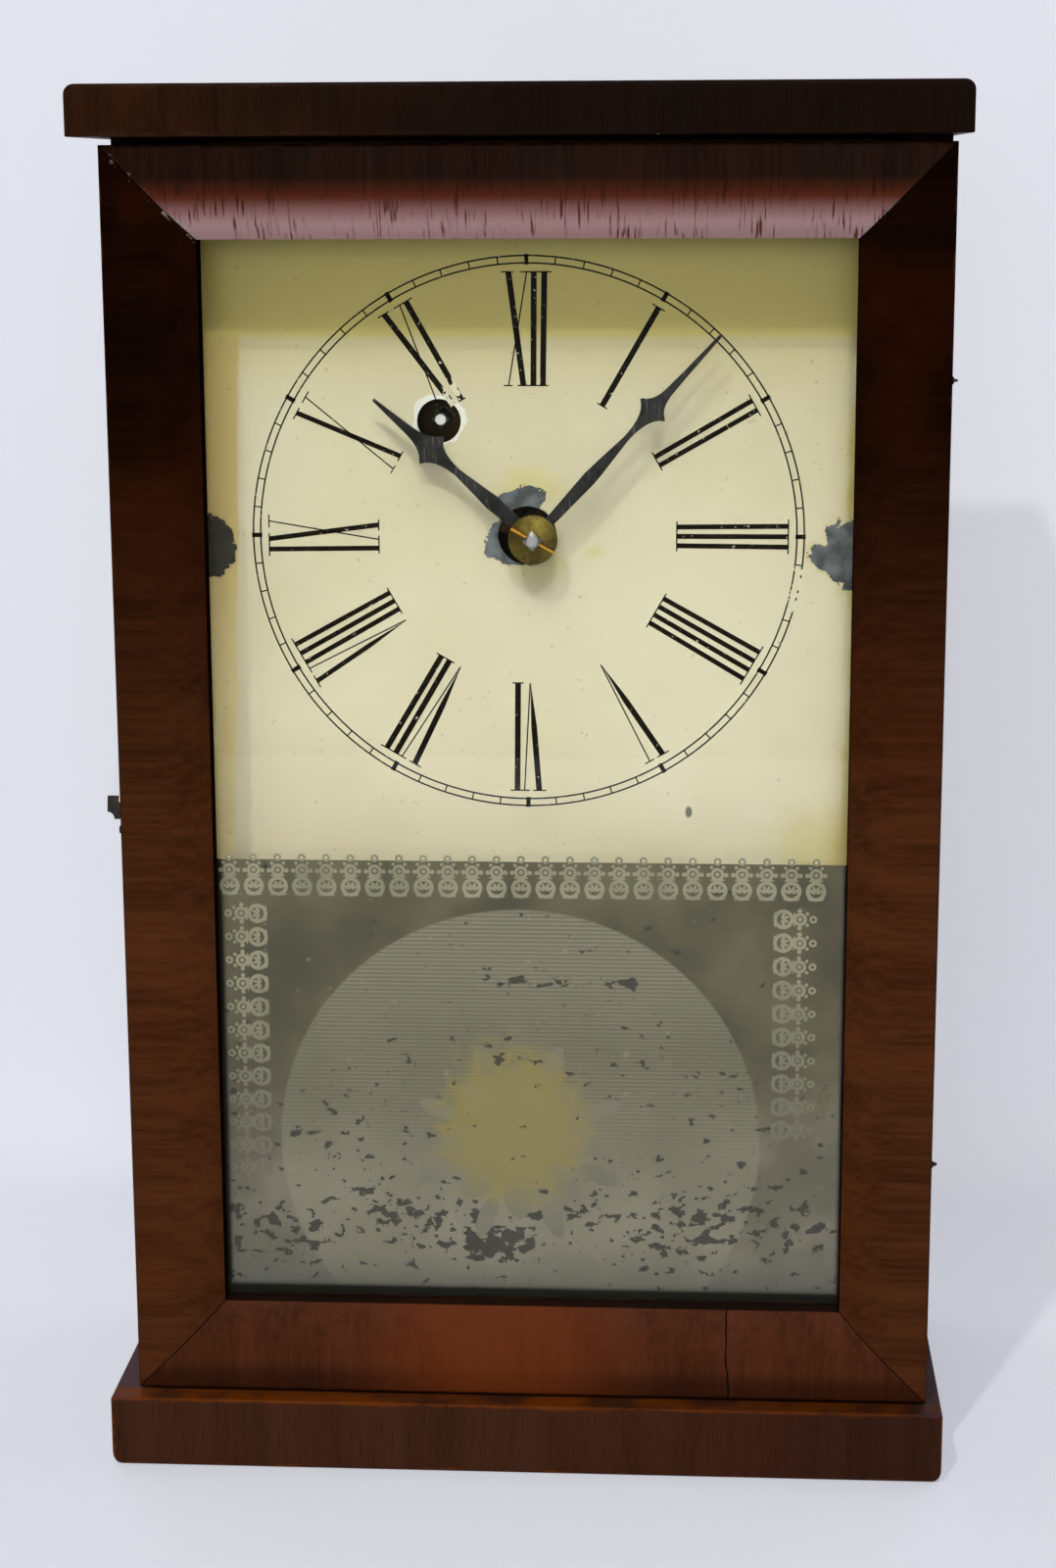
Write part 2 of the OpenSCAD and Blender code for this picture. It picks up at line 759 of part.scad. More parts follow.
module movement_screws() {
    color("gray") movement() for (p = plate_screw_places) {
        bar(p, back_plate_v - 0.05, seat_v + seat_screw_len, plate_screw_r);
        bar(p, back_plate_v - 1.25, back_plate_v - 0.05, 2.3);
    }
}

// Train parts
module lantern(at, leaves, m, trundle_r, mid_v, wheel_thick, phase, bore_r) {
    pinion_r = m * leaves / 2;
    inner = wheel_thick / 2 + collet_gap;
    for (low = [mid_v + inner, mid_v - inner - collet_t])
        difference() {
            bar(at, low, low + collet_t, pinion_r + trundle_r + 0.45);
            bar(at, low - 1, low + collet_t + 1, bore_r);
        }
    for (i = [0:leaves - 1]) {
        a = phase + (i + 0.5) * 360 / leaves;
        bar(at + pinion_r * [cos(a), sin(a)], mid_v - inner - 0.3, mid_v + inner + 0.3, trundle_r);
    }
}

// Cuts the openings between a wheel's arms
module crossings(hub_r, rim_r, arms, arm_w) {
    difference() {
        children();
        difference() {
            circle(r = rim_r);
            circle(r = hub_r);
            for (i = [0:arms - 1])
                rotate((i + 0.5) * 360 / arms) translate([0, -arm_w / 2]) square([rim_r + 1, arm_w]);
        }
    }
}

// A wheel centred on a place, with its hub and bore
module wheel(at, mid_v, t, hub_r, hub_t, bore_r, phase) {
    difference() {
        union() {
            slab(mid_v - t / 2, mid_v + t / 2) translate(at) rotate(phase) children();
            bar(at, mid_v - hub_t / 2, mid_v + hub_t / 2, hub_r);
        }
        bar(at, mid_v - hub_t / 2 - 1, mid_v + hub_t / 2 + 1, bore_r);
    }
}

// Power: mainspring, winding arbor, ratchet and great wheel
module mainspring() {
    inner_r = winding_r + 0.7;
    coil_r = 14;
    coil_end = 30;
    post = pillar_places[0] - winding_at;
    post_dir = atan2(post[1], post[0]);
    tail_r = norm(post) - pillar_r - spring_t;
    step = 20;
    coil = [for (a = [-360 * spring_turns:step:0])
        [coil_end + a, inner_r + (coil_r - inner_r) * (1 + a / 360 / spring_turns)]];
    tail = [for (i = [1:8]) let(s = i / 8)
        [coil_end + s * (post_dir - coil_end), coil_r + s * s * (tail_r - coil_r)]];
    line = concat(coil, tail);
    last = len(line) - 1;
    color("steelblue") movement() slab(spring_v, spring_v + spring_w) translate(winding_at)
        difference() {
            union() {
                polygon([for (s = [1, -1], i = [0:last])
                    let(p = line[s > 0 ? i : last - i])
                    (p[1] + s * spring_t / 2) * [cos(p[0]), sin(p[0])]]);
                translate(post) circle(r = pillar_r + spring_t + 0.3);
            }
            translate(post) circle(r = pillar_r + 0.02);
        }
}

module winding_arbor() {
    half = key_square_w / 2;
    shoulder_v = front_plate_v - 0.7;
    tip = 0.8;
    color("silver") movement() {
        intersection() {
            slab(key_tip_v, shoulder_v) translate(winding_at) rotate(45)
                square([key_square_w, key_square_w], center = true);
            union() {
                bar(winding_at, key_tip_v + tip, shoulder_v, winding_pivot_r);
                translate([winding_at[0], front_y + key_tip_v + tip, winding_at[1]]) rotate([90, 0, 0])
                    cylinder(h = tip, r1 = winding_pivot_r, r2 = half * 0.8);
            }
        }
        bar(winding_at, shoulder_v, gap_v + 0.2, winding_pivot_r);
        bar(winding_at, gap_v + 0.2, ratchet_v, winding_r);
        bar(winding_at, ratchet_v, great_v + great_t / 2 + 0.4, great_seat_r);
        bar(winding_at, great_v + great_t / 2 + 0.4, seat_v + pivot_end, winding_back_r);
    }
}

module ratchet_wheel() {
    root_r = ratchet_r - 1.6;
    pitch = 360 / ratchet_teeth;
    color("goldenrod") movement() difference() {
        slab(ratchet_v, ratchet_v + ratchet_t) translate(winding_at) polygon([
            for (i = [0:ratchet_teeth - 1], p = [[root_r, i], [ratchet_r, i + 1]])
                p[0] * [cos(p[1] * pitch), sin(p[1] * pitch)]]);
        bar(winding_at, ratchet_v - 1, ratchet_v + ratchet_t + 1, great_seat_r + 0.01);
    }
}

// The click is shaped in its engaged place, seen from the ratchet's middle, and drawn lifted
click_lift = 12;
click_at = [9.9, -9.9];
click_post_r = 1;
spring_post_at = [-3, -14.8];
spring_post_r = 0.6;

module great_wheel() {
    color("goldenrod") movement() difference() {
        slab(great_v - great_t / 2, great_v + great_t / 2) translate(winding_at) rotate(winding_dir + 180)
            crossings(great_disc_r, great_module * great_teeth / 2 - 3.6, 5, 3.5)
                polygon(wheel_points(great_teeth, centre_leaves, great_module, great_trundle_r));
        bar(winding_at, great_v - great_t, great_v + great_t, great_seat_r + fit);
        bar(winding_at + click_at, great_v - great_t, great_v + great_t, click_post_r + fit);
        bar(winding_at + spring_post_at, great_v - great_t, great_v + great_t, spring_post_r + screw_play);
    }
}

module click() {
    eye_r = 2;
    color("darkgoldenrod") movement() {
        slab(ratchet_v, ratchet_v + ratchet_t) translate(winding_at + click_at) rotate(click_lift) {
            circle(r = eye_r);
            translate(-click_at) polygon([[0.4, -7.7], [2.3, -8.65], [2.7, -9.05], [6, -9],
                [9.9, -7.9], [9.6, -11.88], [5, -11.2], [2.2, -10.5], [0.12, -9.2]]);
        }
        bar(winding_at + click_at, ratchet_v + 0.5, great_v + great_t / 2 + 0.3, click_post_r);
    }
}

// A wire riveted in the great wheel, whose free end bears towards the back of the click
module click_spring() {
    wire_t = 0.4;
    color("gray") movement() {
        slab(ratchet_v + 0.2, ratchet_v + 1.2) translate(winding_at) {
            translate(spring_post_at) circle(r = 1);
            polygon([[-3, -15.6], [3, -15.4], [9, -14.6], [9, -14.6 + wire_t], [3, -15.4 + wire_t],
                [-3, -15.6 + wire_t]]);
        }
        bar(winding_at + spring_post_at, ratchet_v + 0.2, great_v + great_t / 2, spring_post_r);
    }
}

// Going train
module centre_arbor() {
    half = square_w / 2;
    shoulder_v = minute_hand_v + hand_t;
    tip = 0.7;
    color("silver") movement() {
        difference() {
            intersection() {
                slab(arbor_tip_v, shoulder_v) rotate(-minute_angle)
                    square([square_w, square_w], center = true);
                union() {
                    bar([0, 0], arbor_tip_v + tip, shoulder_v, hand_r);
                    translate([0, front_y + arbor_tip_v + tip, 0]) rotate([90, 0, 0])
                        cylinder(h = tip, r1 = hand_r, r2 = half * 0.75);
                }
            }
            hand_pin_shape(0.01);
        }
        bar([0, 0], shoulder_v, gap_v, hand_r);
        bar([0, 0], gap_v, back_plate_v - 0.15, centre_r);
        bar([0, 0], back_plate_v - 0.15, seat_v + pivot_end, centre_pivot_r);
        lantern([0, 0], centre_leaves, great_module, great_trundle_r, great_v, great_t,
            winding_dir, centre_r - 0.2);
    }
}

module centre_wheel() {
    rim_r = centre_module * centre_teeth / 2 - 2.6;
    color("goldenrod") movement() wheel([0, 0], centre_v, wheel_t, 3.4, 3, centre_r + 0.01, third_dir)
        crossings(4, rim_r, 4, 2.2)
            polygon(wheel_points(centre_teeth, fast_leaves, centre_module, centre_trundle_r));
}

module train_arbor(at) {
    bar(at, gap_v + 0.2, back_plate_v - 0.2, train_r);
    bar(at, front_plate_v - pivot_end, gap_v + 0.2, pivot_r);
    bar(at, back_plate_v - 0.2, seat_v + pivot_end, pivot_r);
}

module third_arbor() {
    color("silver") movement() {
        train_arbor(third_at);
        lantern(third_at, fast_leaves, centre_module, centre_trundle_r, centre_v, wheel_t,
            third_dir + 180, train_r - 0.1);
    }
}

module third_wheel() {
    rim_r = third_module * third_teeth / 2 - 2.2;
    color("goldenrod") movement()
        wheel(third_at, third_v, wheel_t, 2.2, 2.8, train_r + 0.01, escape_dir)
            crossings(2.8, rim_r, 4, 1.8)
                polygon(wheel_points(third_teeth, fast_leaves, third_module, third_trundle_r));
}

module escape_arbor() {
    color("silver") movement() {
        train_arbor(escape_at);
        lantern(escape_at, fast_leaves, third_module, third_trundle_r, third_v, wheel_t,
            escape_dir + 180, train_r - 0.1);
    }
}

// Leaning teeth, set so that either pallet can dip between two of them
module escape_wheel() {
    root_r = escape_r - 2.4;
    pitch = 360 / escape_teeth;
    phase = 90 + span_half - 0.34 * pitch;
    tooth = [[root_r, 0.25], [escape_r, 0], [escape_r, 0.07], [root_r, 0.75]];
    color("goldenrod") movement()
        wheel(escape_at, escape_v, escape_t, 1.8, 2.4, train_r + 0.01, phase)
            crossings(2.4, root_r - 1.8, 4, 1.2)
                polygon([for (i = [0:escape_teeth - 1], p = tooth)
                    p[0] * [cos((i + p[1]) * pitch), sin((i + p[1]) * pitch)]]);
}

// Escapement and pendulum
module verge_arbor() {
    color("silver") movement() bar(verge_at, crutch_v - 1, seat_v + pivot_end, train_r);
}

// One bent strip: it runs over the hub, and both arms turn in towards the wheel at their pallets
module verge_strip() {
    inward = [sin(span_half), -cos(span_half)];
    toe = [-pallet_len * cos(span_half), -pallet_len * sin(span_half)] - pallet_play * inward;
    knee = toe - 2.6 * inward;
    arm = concat([toe], bend(knee, knee - 2.6 * inward, [-2.6, 0.9], 6));
    low = escape_v - verge_strip_w / 2;
    high = escape_v + verge_strip_w / 2;
    color("steelblue") movement() difference() {
        union() {
            slab(low, high) translate(verge_at)
                polygon(ribbon(concat(arm, [[0, 1.15]], flipped(arm)), strip_thick));
            bar(verge_at, low - 0.2, high + 0.2, 1.5);
        }
        bar(verge_at, low - 1, high + 1, train_r + 0.01);
    }
}

module crutch() {
    loop_r = rod_r + 0.3;
    loop_t = 1;
    foot = verge_at - [0, crutch_len];
    color("darkgoldenrod") movement() {
        difference() {
            bar(verge_at, crutch_v - 0.8, crutch_v + 0.8, 1.3);
            bar(verge_at, crutch_v - 2, crutch_v + 2, train_r + 0.01);
        }
        translate([foot[0], front_y + crutch_v, foot[1] + 0.1])
            cylinder(h = crutch_len - 0.9, r = crutch_r);
        difference() {
            union() {
                translate([foot[0], front_y + pendulum_v, foot[1] - loop_t / 2])
                    cylinder(h = loop_t, r = loop_r + 0.7);
                translate([foot[0] - 0.6, front_y + pendulum_v + 1, foot[1] - loop_t / 2])
                    cube([1.2, crutch_v + 0.6 - pendulum_v - 1, loop_t]);
            }
            translate([foot[0], front_y + pendulum_v, foot[1] - loop_t])
                cylinder(h = 2 * loop_t, r = loop_r);
        }
    }
}

module spring_shape() {
    translate([verge_at[0] - flex_t / 2, front_y + pendulum_v - flex_w / 2, verge_at[1] - 1.5])
        cube([flex_t, flex_w, post_up + 3]);
}

module suspension_post() {
    at = verge_at + [0, post_up];
    half = 1.5;
    color("goldenrod") movement() difference() {
        union() {
            bar(at, pendulum_v + half, gap_v, post_r);
            translate([at[0] - half, front_y + pendulum_v - half, at[1] - half])
                cube([2 * half, 2 * half, 2 * half]);
        }
        spring_shape();
    }
}

module suspension_spring() {
    color("silver") movement() spring_shape();
}

module pendulum_rod() {
    bottom = pendulum_len + bob_r + nut_h + 2.5;
    slot_w = flex_t + 0.3;
    color("goldenrod") movement() translate([verge_at[0], front_y + pendulum_v, verge_at[1]]) {
        translate([0, 0, -bottom]) cylinder(h = bottom - ferrule_h / 2 - 0.5, r = rod_r);
        difference() {
            translate([0, 0, -ferrule_h / 2 - 1]) cylinder(h = ferrule_h, r = ferrule_r);
            translate([-slot_w / 2, -2, -1.8]) cube([slot_w, 4, 4]);
        }
    }
}

module pendulum_bob() {
    rim = 0.4;
    rise = bob_t / 2 - rim;
    face_r = (bob_r * bob_r + rise * rise) / (2 * rise);
    sweep = asin(bob_r / face_r);
    face = arc([0, bob_t / 2 - face_r], face_r, 90 - sweep, 90, 12);
    color("goldenrod") movement() difference() {
        translate([verge_at[0], front_y + pendulum_v, verge_at[1] - pendulum_len]) rotate([90, 0, 0])
            rotate_extrude($fn = 96)
                polygon(concat(face, [for (i = [12:-1:0]) [face[i][0], -face[i][1]]]));
        translate([verge_at[0], front_y + pendulum_v, verge_at[1] - pendulum_len - bob_r - 1])
            cylinder(h = 2 * bob_r + 2, r = rod_r + 0.01);
    }
}

module rating_nut() {
    color("goldenrod") movement() difference() {
        translate([verge_at[0], front_y + pendulum_v, verge_at[1] - pendulum_len - bob_r - nut_h])
            cylinder(h = nut_h, r = nut_r);
        translate([verge_at[0], front_y + pendulum_v, verge_at[1] - pendulum_len - bob_r - nut_h - 1])
            cylinder(h = nut_h + 2, r = rod_r + 0.01);
    }
}

// Motion work
module cannon_pinion() {
    color("goldenrod") movement() lantern([0, 0], cannon_leaves, minute_module, minute_trundle_r,
        minute_v, wheel_t, minute_wheel_dir, hand_r + 0.01);
}

module minute_wheel_stud() {
    color("gray") movement() {
        bar(minute_at, hour_v - 2.8, gap_v, stud_r);
        bar(minute_at, minute_v + wheel_t / 2 + 0.2, front_plate_v, 1.5);
    }
}

module minute_wheel() {
    front = hour_v - wheel_t / 2 - collet_gap - collet_t;
    rim_r = minute_module * minute_teeth / 2 - 2;
    color("goldenrod") movement() difference() {
        union() {
            slab(minute_v - wheel_t / 2, minute_v + wheel_t / 2) translate(minute_at)
                rotate(minute_wheel_dir + 180) crossings(2.6, rim_r, 4, 1.8)
                    polygon(wheel_points(minute_teeth, cannon_leaves, minute_module, minute_trundle_r));
            bar(minute_at, front, minute_v, 1.4);
            lantern(minute_at, minute_leaves, hour_module, hour_trundle_r, hour_v, wheel_t,
                minute_wheel_dir + 180, 1.2);
        }
        bar(minute_at, front - 1, minute_v + wheel_t, stud_r + fit);
    }
}

module hour_wheel() {
    rim_r = hour_module * hour_teeth / 2 - 2.2;
    color("goldenrod") movement() difference() {
        union() {
            slab(hour_v - wheel_t / 2, hour_v + wheel_t / 2) rotate(minute_wheel_dir)
                crossings(4.4, rim_r, 4, 2)
                    polygon(wheel_points(hour_teeth, minute_leaves, hour_module, hour_trundle_r));
            bar([0, 0], hour_hand_v - 0.4, hour_v + wheel_t / 2, pipe_r);
        }
        bar([0, 0], hour_hand_v - 1, hour_v + wheel_t, pipe_bore_r);
    }
}

// Hands
module hand_outline(hub_r, right_side) {
    circle(r = hub_r);
    polygon(concat(right_side, flipped(right_side)));
}

module minute_outline() {
    s = minute_len / 59.8;
    right_side = concat(
        [[1, 3 * s], [1.55, 18.4 * s], [1.25, 22.5 * s], [0.6, 30 * s]],
        bend([0.62, 31 * s], [0.8, 36.8 * s], [3.6, 38.3 * s], 6),
        bend([3.3, 38.7 * s], [1.15, 39.9 * s], [0.9, 43.5 * s], 5),
        [[0.65, 49 * s], [0.35, minute_len]]);
    hand_outline(4.2, right_side);
}

module hour_outline() {
    s = hour_len / 46.2;
    right_side = concat(
        [[1.3, 3.5 * s], [1.7, 12.1 * s], [1.35, 15.5 * s], [0.8, 21.8 * s]],
        bend([0.82, 22.6 * s], [1.1, 27.9 * s], [3.95, 29.4 * s], 6),
        bend([3.6, 29.9 * s], [1.4, 31.4 * s], [1, 35.8 * s], 5),
        [[0.3, hour_len]]);
    hand_outline(5, right_side);
}

module hour_hand() {
    color("midnightblue") movement() difference() {
        slab(hour_hand_v, hour_hand_v + hand_t) rotate(-hour_angle) hour_outline();
        bar([0, 0], hour_hand_v - 1, hour_hand_v + 2, pipe_r + 0.01);
    }
}

module minute_hand() {
    color("midnightblue") movement() slab(minute_hand_v, minute_hand_v + hand_t) rotate(-minute_angle)
        difference() {
            minute_outline();
            square([square_w + 0.04, square_w + 0.04], center = true);
        }
}

module hand_washer() {
    sheet_t = 0.4;
    rise = washer_t - sheet_t;
    bow = [for (i = [0:5]) [washer_r * i / 5, sheet_t + rise * (1 - i * i / 25)]];
    color("goldenrod") movement() difference() {
        translate([0, front_y + washer_v + washer_t, 0]) rotate([90, 0, 0]) rotate_extrude()
            polygon(concat(bow, [for (i = [5:-1:0]) bow[i] - [0, sheet_t]]));
        slab(washer_v - 1, washer_v + washer_t + 1) rotate(-minute_angle)
            square([square_w + 0.04, square_w + 0.04], center = true);
    }
}

module hand_pin_shape(play) {
    pin_len = 10.8;
    translate([0, front_y + hand_pin_v, 0]) rotate([0, 90 + pin_slope, 0]) translate([0, 0, -pin_len / 2])
        cylinder(h = pin_len, r1 = hand_pin_r + play, r2 = hand_pin_r - 0.1 + play);
}

module hand_pin() {
    color("gold") movement() hand_pin_shape(0);
}

base_board();
top_board();
case_side_left();
case_side_right();
back_board();
dial_block_left();
dial_block_right();
dial_plate();
dial_screws();
door_rail_top();
door_rail_bottom();
door_stile_left();
door_stile_right();
glass_pane();
glazing_strips();
hinge_upper_case_eye();
hinge_lower_case_eye();
hinge_upper_door_eye();
hinge_lower_door_eye();
door_hook();
hook_screw();
catch_pin();
seat_strips();
movement_screws();
front_plate();
back_plate();
pillars();
pillar_pins();
mainspring();
winding_arbor();
ratchet_wheel();
great_wheel();
click();
click_spring();
centre_arbor();
centre_wheel();
third_arbor();
third_wheel();
escape_arbor();
escape_wheel();
verge_arbor();
verge_strip();
crutch();
suspension_post();
suspension_spring();
pendulum_rod();
pendulum_bob();
rating_nut();
cannon_pinion();
minute_wheel_stud();
minute_wheel();
hour_wheel();
hour_hand();
minute_hand();
hand_washer();
hand_pin();
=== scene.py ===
import math

import bpy
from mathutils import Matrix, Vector
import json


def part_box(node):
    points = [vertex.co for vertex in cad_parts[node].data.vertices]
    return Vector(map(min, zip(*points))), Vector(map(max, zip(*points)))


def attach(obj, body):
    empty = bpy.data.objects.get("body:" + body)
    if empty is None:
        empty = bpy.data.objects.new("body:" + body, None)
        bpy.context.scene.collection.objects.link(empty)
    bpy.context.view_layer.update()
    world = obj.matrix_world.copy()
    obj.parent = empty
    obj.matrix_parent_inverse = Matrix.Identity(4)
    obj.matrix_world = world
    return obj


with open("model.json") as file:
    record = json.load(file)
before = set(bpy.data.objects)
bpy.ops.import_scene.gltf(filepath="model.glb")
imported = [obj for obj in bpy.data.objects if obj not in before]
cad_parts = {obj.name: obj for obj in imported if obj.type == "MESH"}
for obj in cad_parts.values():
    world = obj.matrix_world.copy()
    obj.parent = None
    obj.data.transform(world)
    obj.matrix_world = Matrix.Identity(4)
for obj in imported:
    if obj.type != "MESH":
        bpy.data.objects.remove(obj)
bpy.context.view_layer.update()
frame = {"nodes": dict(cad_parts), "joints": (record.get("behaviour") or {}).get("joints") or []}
nodes = frame["nodes"]
bpy.ops.object.select_all(action="DESELECT")

# Camera
# The clock stands on a table and is seen from in front, a little to its right and from the height of
# its lid, looking slightly down. Its place and turn are fitted to the case's corners in the picture.
MM = 0.001
photo_height_px = 1600
focal_px = 2929.28
camera_place = Vector((38.92, -644.74, 286.28)) * MM
camera_turn = [math.radians(angle) for angle in (78.0365, 0.2294, 3.5067)]

lens = bpy.data.cameras.new("camera")
lens.sensor_fit = "VERTICAL"
lens.lens = focal_px / photo_height_px * lens.sensor_height
lens.clip_start = 0.01
camera = bpy.data.objects.new("camera", lens)
camera.location = camera_place
camera.rotation_euler = camera_turn
bpy.context.scene.collection.objects.link(camera)
bpy.context.scene.camera = camera
bpy.context.scene.view_settings.view_transform = "Standard"

# Table, wall and lamps
# A white sheet lies on the table and rises behind the clock in one sweep. Two lamps stand above the
# camera, and a wide soft one level with it. The table is glossy in front and throws light up.
sheet_color = (246, 248, 253)
backdrop_glow = (142, 144, 152)
sheet_half_width = 1.6
sheet_front = -0.83
wall_y = 0.165
wall_height = 1.6
sweep_radius = 0.03
same_place = 1e-4
gloss_from, gloss_to = -0.12, -0.17


def linear(level):
    level = level / 255
    return level / 12.92 if level <= 0.04045 else ((level + 0.055) / 1.055) ** 2.4


def color(red, green, blue):
    """A colour as a picture shows it, in the values that Blender mixes."""
    return (linear(red), linear(green), linear(blue), 1)


def new_material(name, **constants):
    """A material whose shader has some sockets set: Roughness, Metallic and so on."""
    material = bpy.data.materials.new(name)
    material.use_nodes = True
    shader = material.node_tree.nodes["Principled BSDF"]
    for socket, value in constants.items():
        shader.inputs[socket.replace("_", " ")].default_value = value
    return material, material.node_tree, shader


def add(tree, kind, sockets=(), **settings):
    """A node with its settings, and with a value or a link in each socket that is given."""
    made = tree.nodes.new(kind)
    for name, value in settings.items():
        setattr(made, name, value)
    for socket, value in dict(sockets).items():
        if isinstance(value, bpy.types.NodeSocket):
            tree.links.new(value, made.inputs[socket])
        else:
            made.inputs[socket].default_value = value
    return made


def place_on(tree):
    return add(tree, "ShaderNodeTexCoord").outputs["Object"]


def noise(tree, vector, scale, detail=3, roughness=0.5):
    return add(tree, "ShaderNodeTexNoise", {"Vector": vector, "Scale": scale, "Detail": detail,
               "Roughness": roughness}).outputs[0]


def maths(tree, operation, *values):
    return add(tree, "ShaderNodeMath", enumerate(values), operation=operation).outputs[0]


def split(tree, vector):
    return add(tree, "ShaderNodeSeparateXYZ", {0: vector}).outputs


def step(tree, value, low, high):
    """Nought below low and one above high, or the other way round where low is the greater."""
    return add(tree, "ShaderNodeMapRange", {"Value": value, "From Min": low, "From Max": high},
               interpolation_type="SMOOTHSTEP").outputs[0]


def mix(tree, factor, first, second):
    """The first colour where the factor is nought, and the second where it is one."""
    return add(tree, "ShaderNodeMix", {0: factor, 6: first, 7: second}, data_type="RGBA").outputs[2]


def finish_with(tree, shader, base, roughness=None, height=None, depth=0.00005):
    """Links a colour to the shader, and a roughness and a bump's height where they are given."""
    tree.links.new(base, shader.inputs["Base Color"])
    if roughness is not None:
        tree.links.new(roughness, shader.inputs["Roughness"])
    if height is not None:
        bump = add(tree, "ShaderNodeBump", {"Height": height, "Distance": depth})
        tree.links.new(bump.outputs[0], shader.inputs["Normal"])


def give(material, *pieces):
    """Puts a material in every slot of the pieces, and changes nothing else on them."""
    for piece in pieces:
        if not piece.material_slots:
            piece.data.materials.append(material)
        for slot in piece.material_slots:
            slot.material = material


def pick_edges(piece, wanted):
    """Selects the edges whose two ends are both where they are wanted."""
    for edge in piece.data.edges:
        edge.select = all(wanted(piece.data.vertices[end].co) for end in edge.vertices)


bpy.ops.mesh.primitive_plane_add(size=1, location=(0, (sheet_front + wall_y) / 2, 0),
                                 rotation=(0, 0, 0))
sheet = bpy.context.object
sheet.name = "table_and_wall"
sheet.scale = (2 * sheet_half_width, wall_y - sheet_front, 1)
bpy.ops.object.transform_apply(location=True, rotation=True, scale=True)
bpy.ops.object.mode_set(mode="EDIT")
bpy.ops.mesh.select_all(action="DESELECT")
bpy.ops.object.mode_set(mode="OBJECT")
pick_edges(sheet, lambda corner: abs(corner.y - wall_y) < same_place)
bpy.ops.object.mode_set(mode="EDIT")
bpy.ops.mesh.select_mode(type="EDGE")
bpy.ops.mesh.extrude_region_move(TRANSFORM_OT_translate={"value": (0, 0, wall_height)})
bpy.ops.object.mode_set(mode="OBJECT")
pick_edges(sheet, lambda corner: abs(corner.y - wall_y) < same_place and abs(corner.z) < same_place)
bpy.ops.object.mode_set(mode="EDIT")
bpy.ops.mesh.bevel(offset=sweep_radius, segments=12)
bpy.ops.object.mode_set(mode="OBJECT")
bpy.ops.object.shade_smooth()
sheet_material, tree, shader = new_material("white_sheet", Roughness=0.9, Coat_Roughness=0.3,
                                            Emission_Strength=1)
shader.inputs["Specular IOR Level"].default_value = 0.1
cloud = noise(tree, place_on(tree), 3, detail=2)
finish_with(tree, shader, mix(tree, cloud, color(243, 245, 250), color(*sheet_color)))
along = split(tree, place_on(tree))
tree.links.new(step(tree, along[1], gloss_from, gloss_to), shader.inputs["Coat Weight"])
ray = add(tree, "ShaderNodeLightPath").outputs
seen = maths(tree, "MAXIMUM", ray["Is Camera Ray"], ray["Is Glossy Ray"])
seen = maths(tree, "MAXIMUM", seen, ray["Is Transmission Ray"])
tree.links.new(mix(tree, seen, (0, 0, 0, 1), color(*backdrop_glow)), shader.inputs["Emission Color"])

# A camera behind the wall sees through it, so that the backboard can be looked at
back_face = add(tree, "ShaderNodeNewGeometry").outputs["Backfacing"]
behind = maths(tree, "MULTIPLY", ray["Is Camera Ray"], back_face)
tree.links.new(maths(tree, "SUBTRACT", 1, behind), shader.inputs["Alpha"])
give(sheet_material, sheet)

lamp_aim = Vector((0.0015, -0.013, 0.2))
lamp_distance = 1.6


def lamp(name, azimuth, elevation, watts, width, height):
    """A soft lamp that looks at the dial. Azimuth is to the right of straight in front."""
    light = bpy.data.lights.new(name, "AREA")
    light.shape = "RECTANGLE"
    light.size = width
    light.size_y = height
    light.energy = watts
    made = bpy.data.objects.new(name, light)
    up = math.radians(elevation)
    side = math.radians(azimuth)
    way = Vector((math.sin(side) * math.cos(up), -math.cos(side) * math.cos(up), math.sin(up)))
    made.location = lamp_aim + way * lamp_distance
    made.rotation_euler = (-way).to_track_quat("-Z", "Y").to_euler()
    bpy.context.scene.collection.objects.link(made)


lamp("lamp_left", -16.6, 47, 4.7, 0.04, 0.04)
lamp("lamp_right", 5, 42.7, 4.7, 0.04, 0.04)
lamp("lamp_front", 0, 9, 3.5, 0.7, 0.4)

world = bpy.data.worlds.new("room")
world.use_nodes = True
room = world.node_tree.nodes["Background"]
room.inputs["Color"].default_value = color(238, 242, 250)
room.inputs["Strength"].default_value = 0.09
bpy.context.scene.world = world

# Base board and top board
# Two pine boards, faced on their edges with dark mahogany veneer whose grain stands upright, and
# worn to an orange brown along the base's front edge. They are glued and nailed to the case sides.
front_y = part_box("door_rail_top")[0].y
case_low, case_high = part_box("case_side_left")[0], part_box("case_side_right")[1]
case_middle_x = (case_low.x + case_high.x) / 2
base_low, base_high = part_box("base_board")
top_low, top_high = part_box("top_board")


def mapped(tree, vector, scale=(1, 1, 1), turn=(0, 0, 0), shift=(0, 0, 0)):
    return add(tree, "ShaderNodeMapping", {"Vector": vector, "Scale": scale,
               "Rotation": [math.radians(angle) for angle in turn], "Location": shift}).outputs[0]


def vector_maths(tree, operation, *values):
    """Maths on whole places. The first output is a place, and the second is a length."""
    return add(tree, "ShaderNodeVectorMath", enumerate(values), operation=operation).outputs


def ranged(tree, value, low, high):
    """The low number where the value is nought, and the high one where it is one."""
    return add(tree, "ShaderNodeMapRange", {"Value": value, "To Min": low, "To Max": high}).outputs[0]


place_sockets = ("Vector", "Low", "High", "Middle", "Reach")


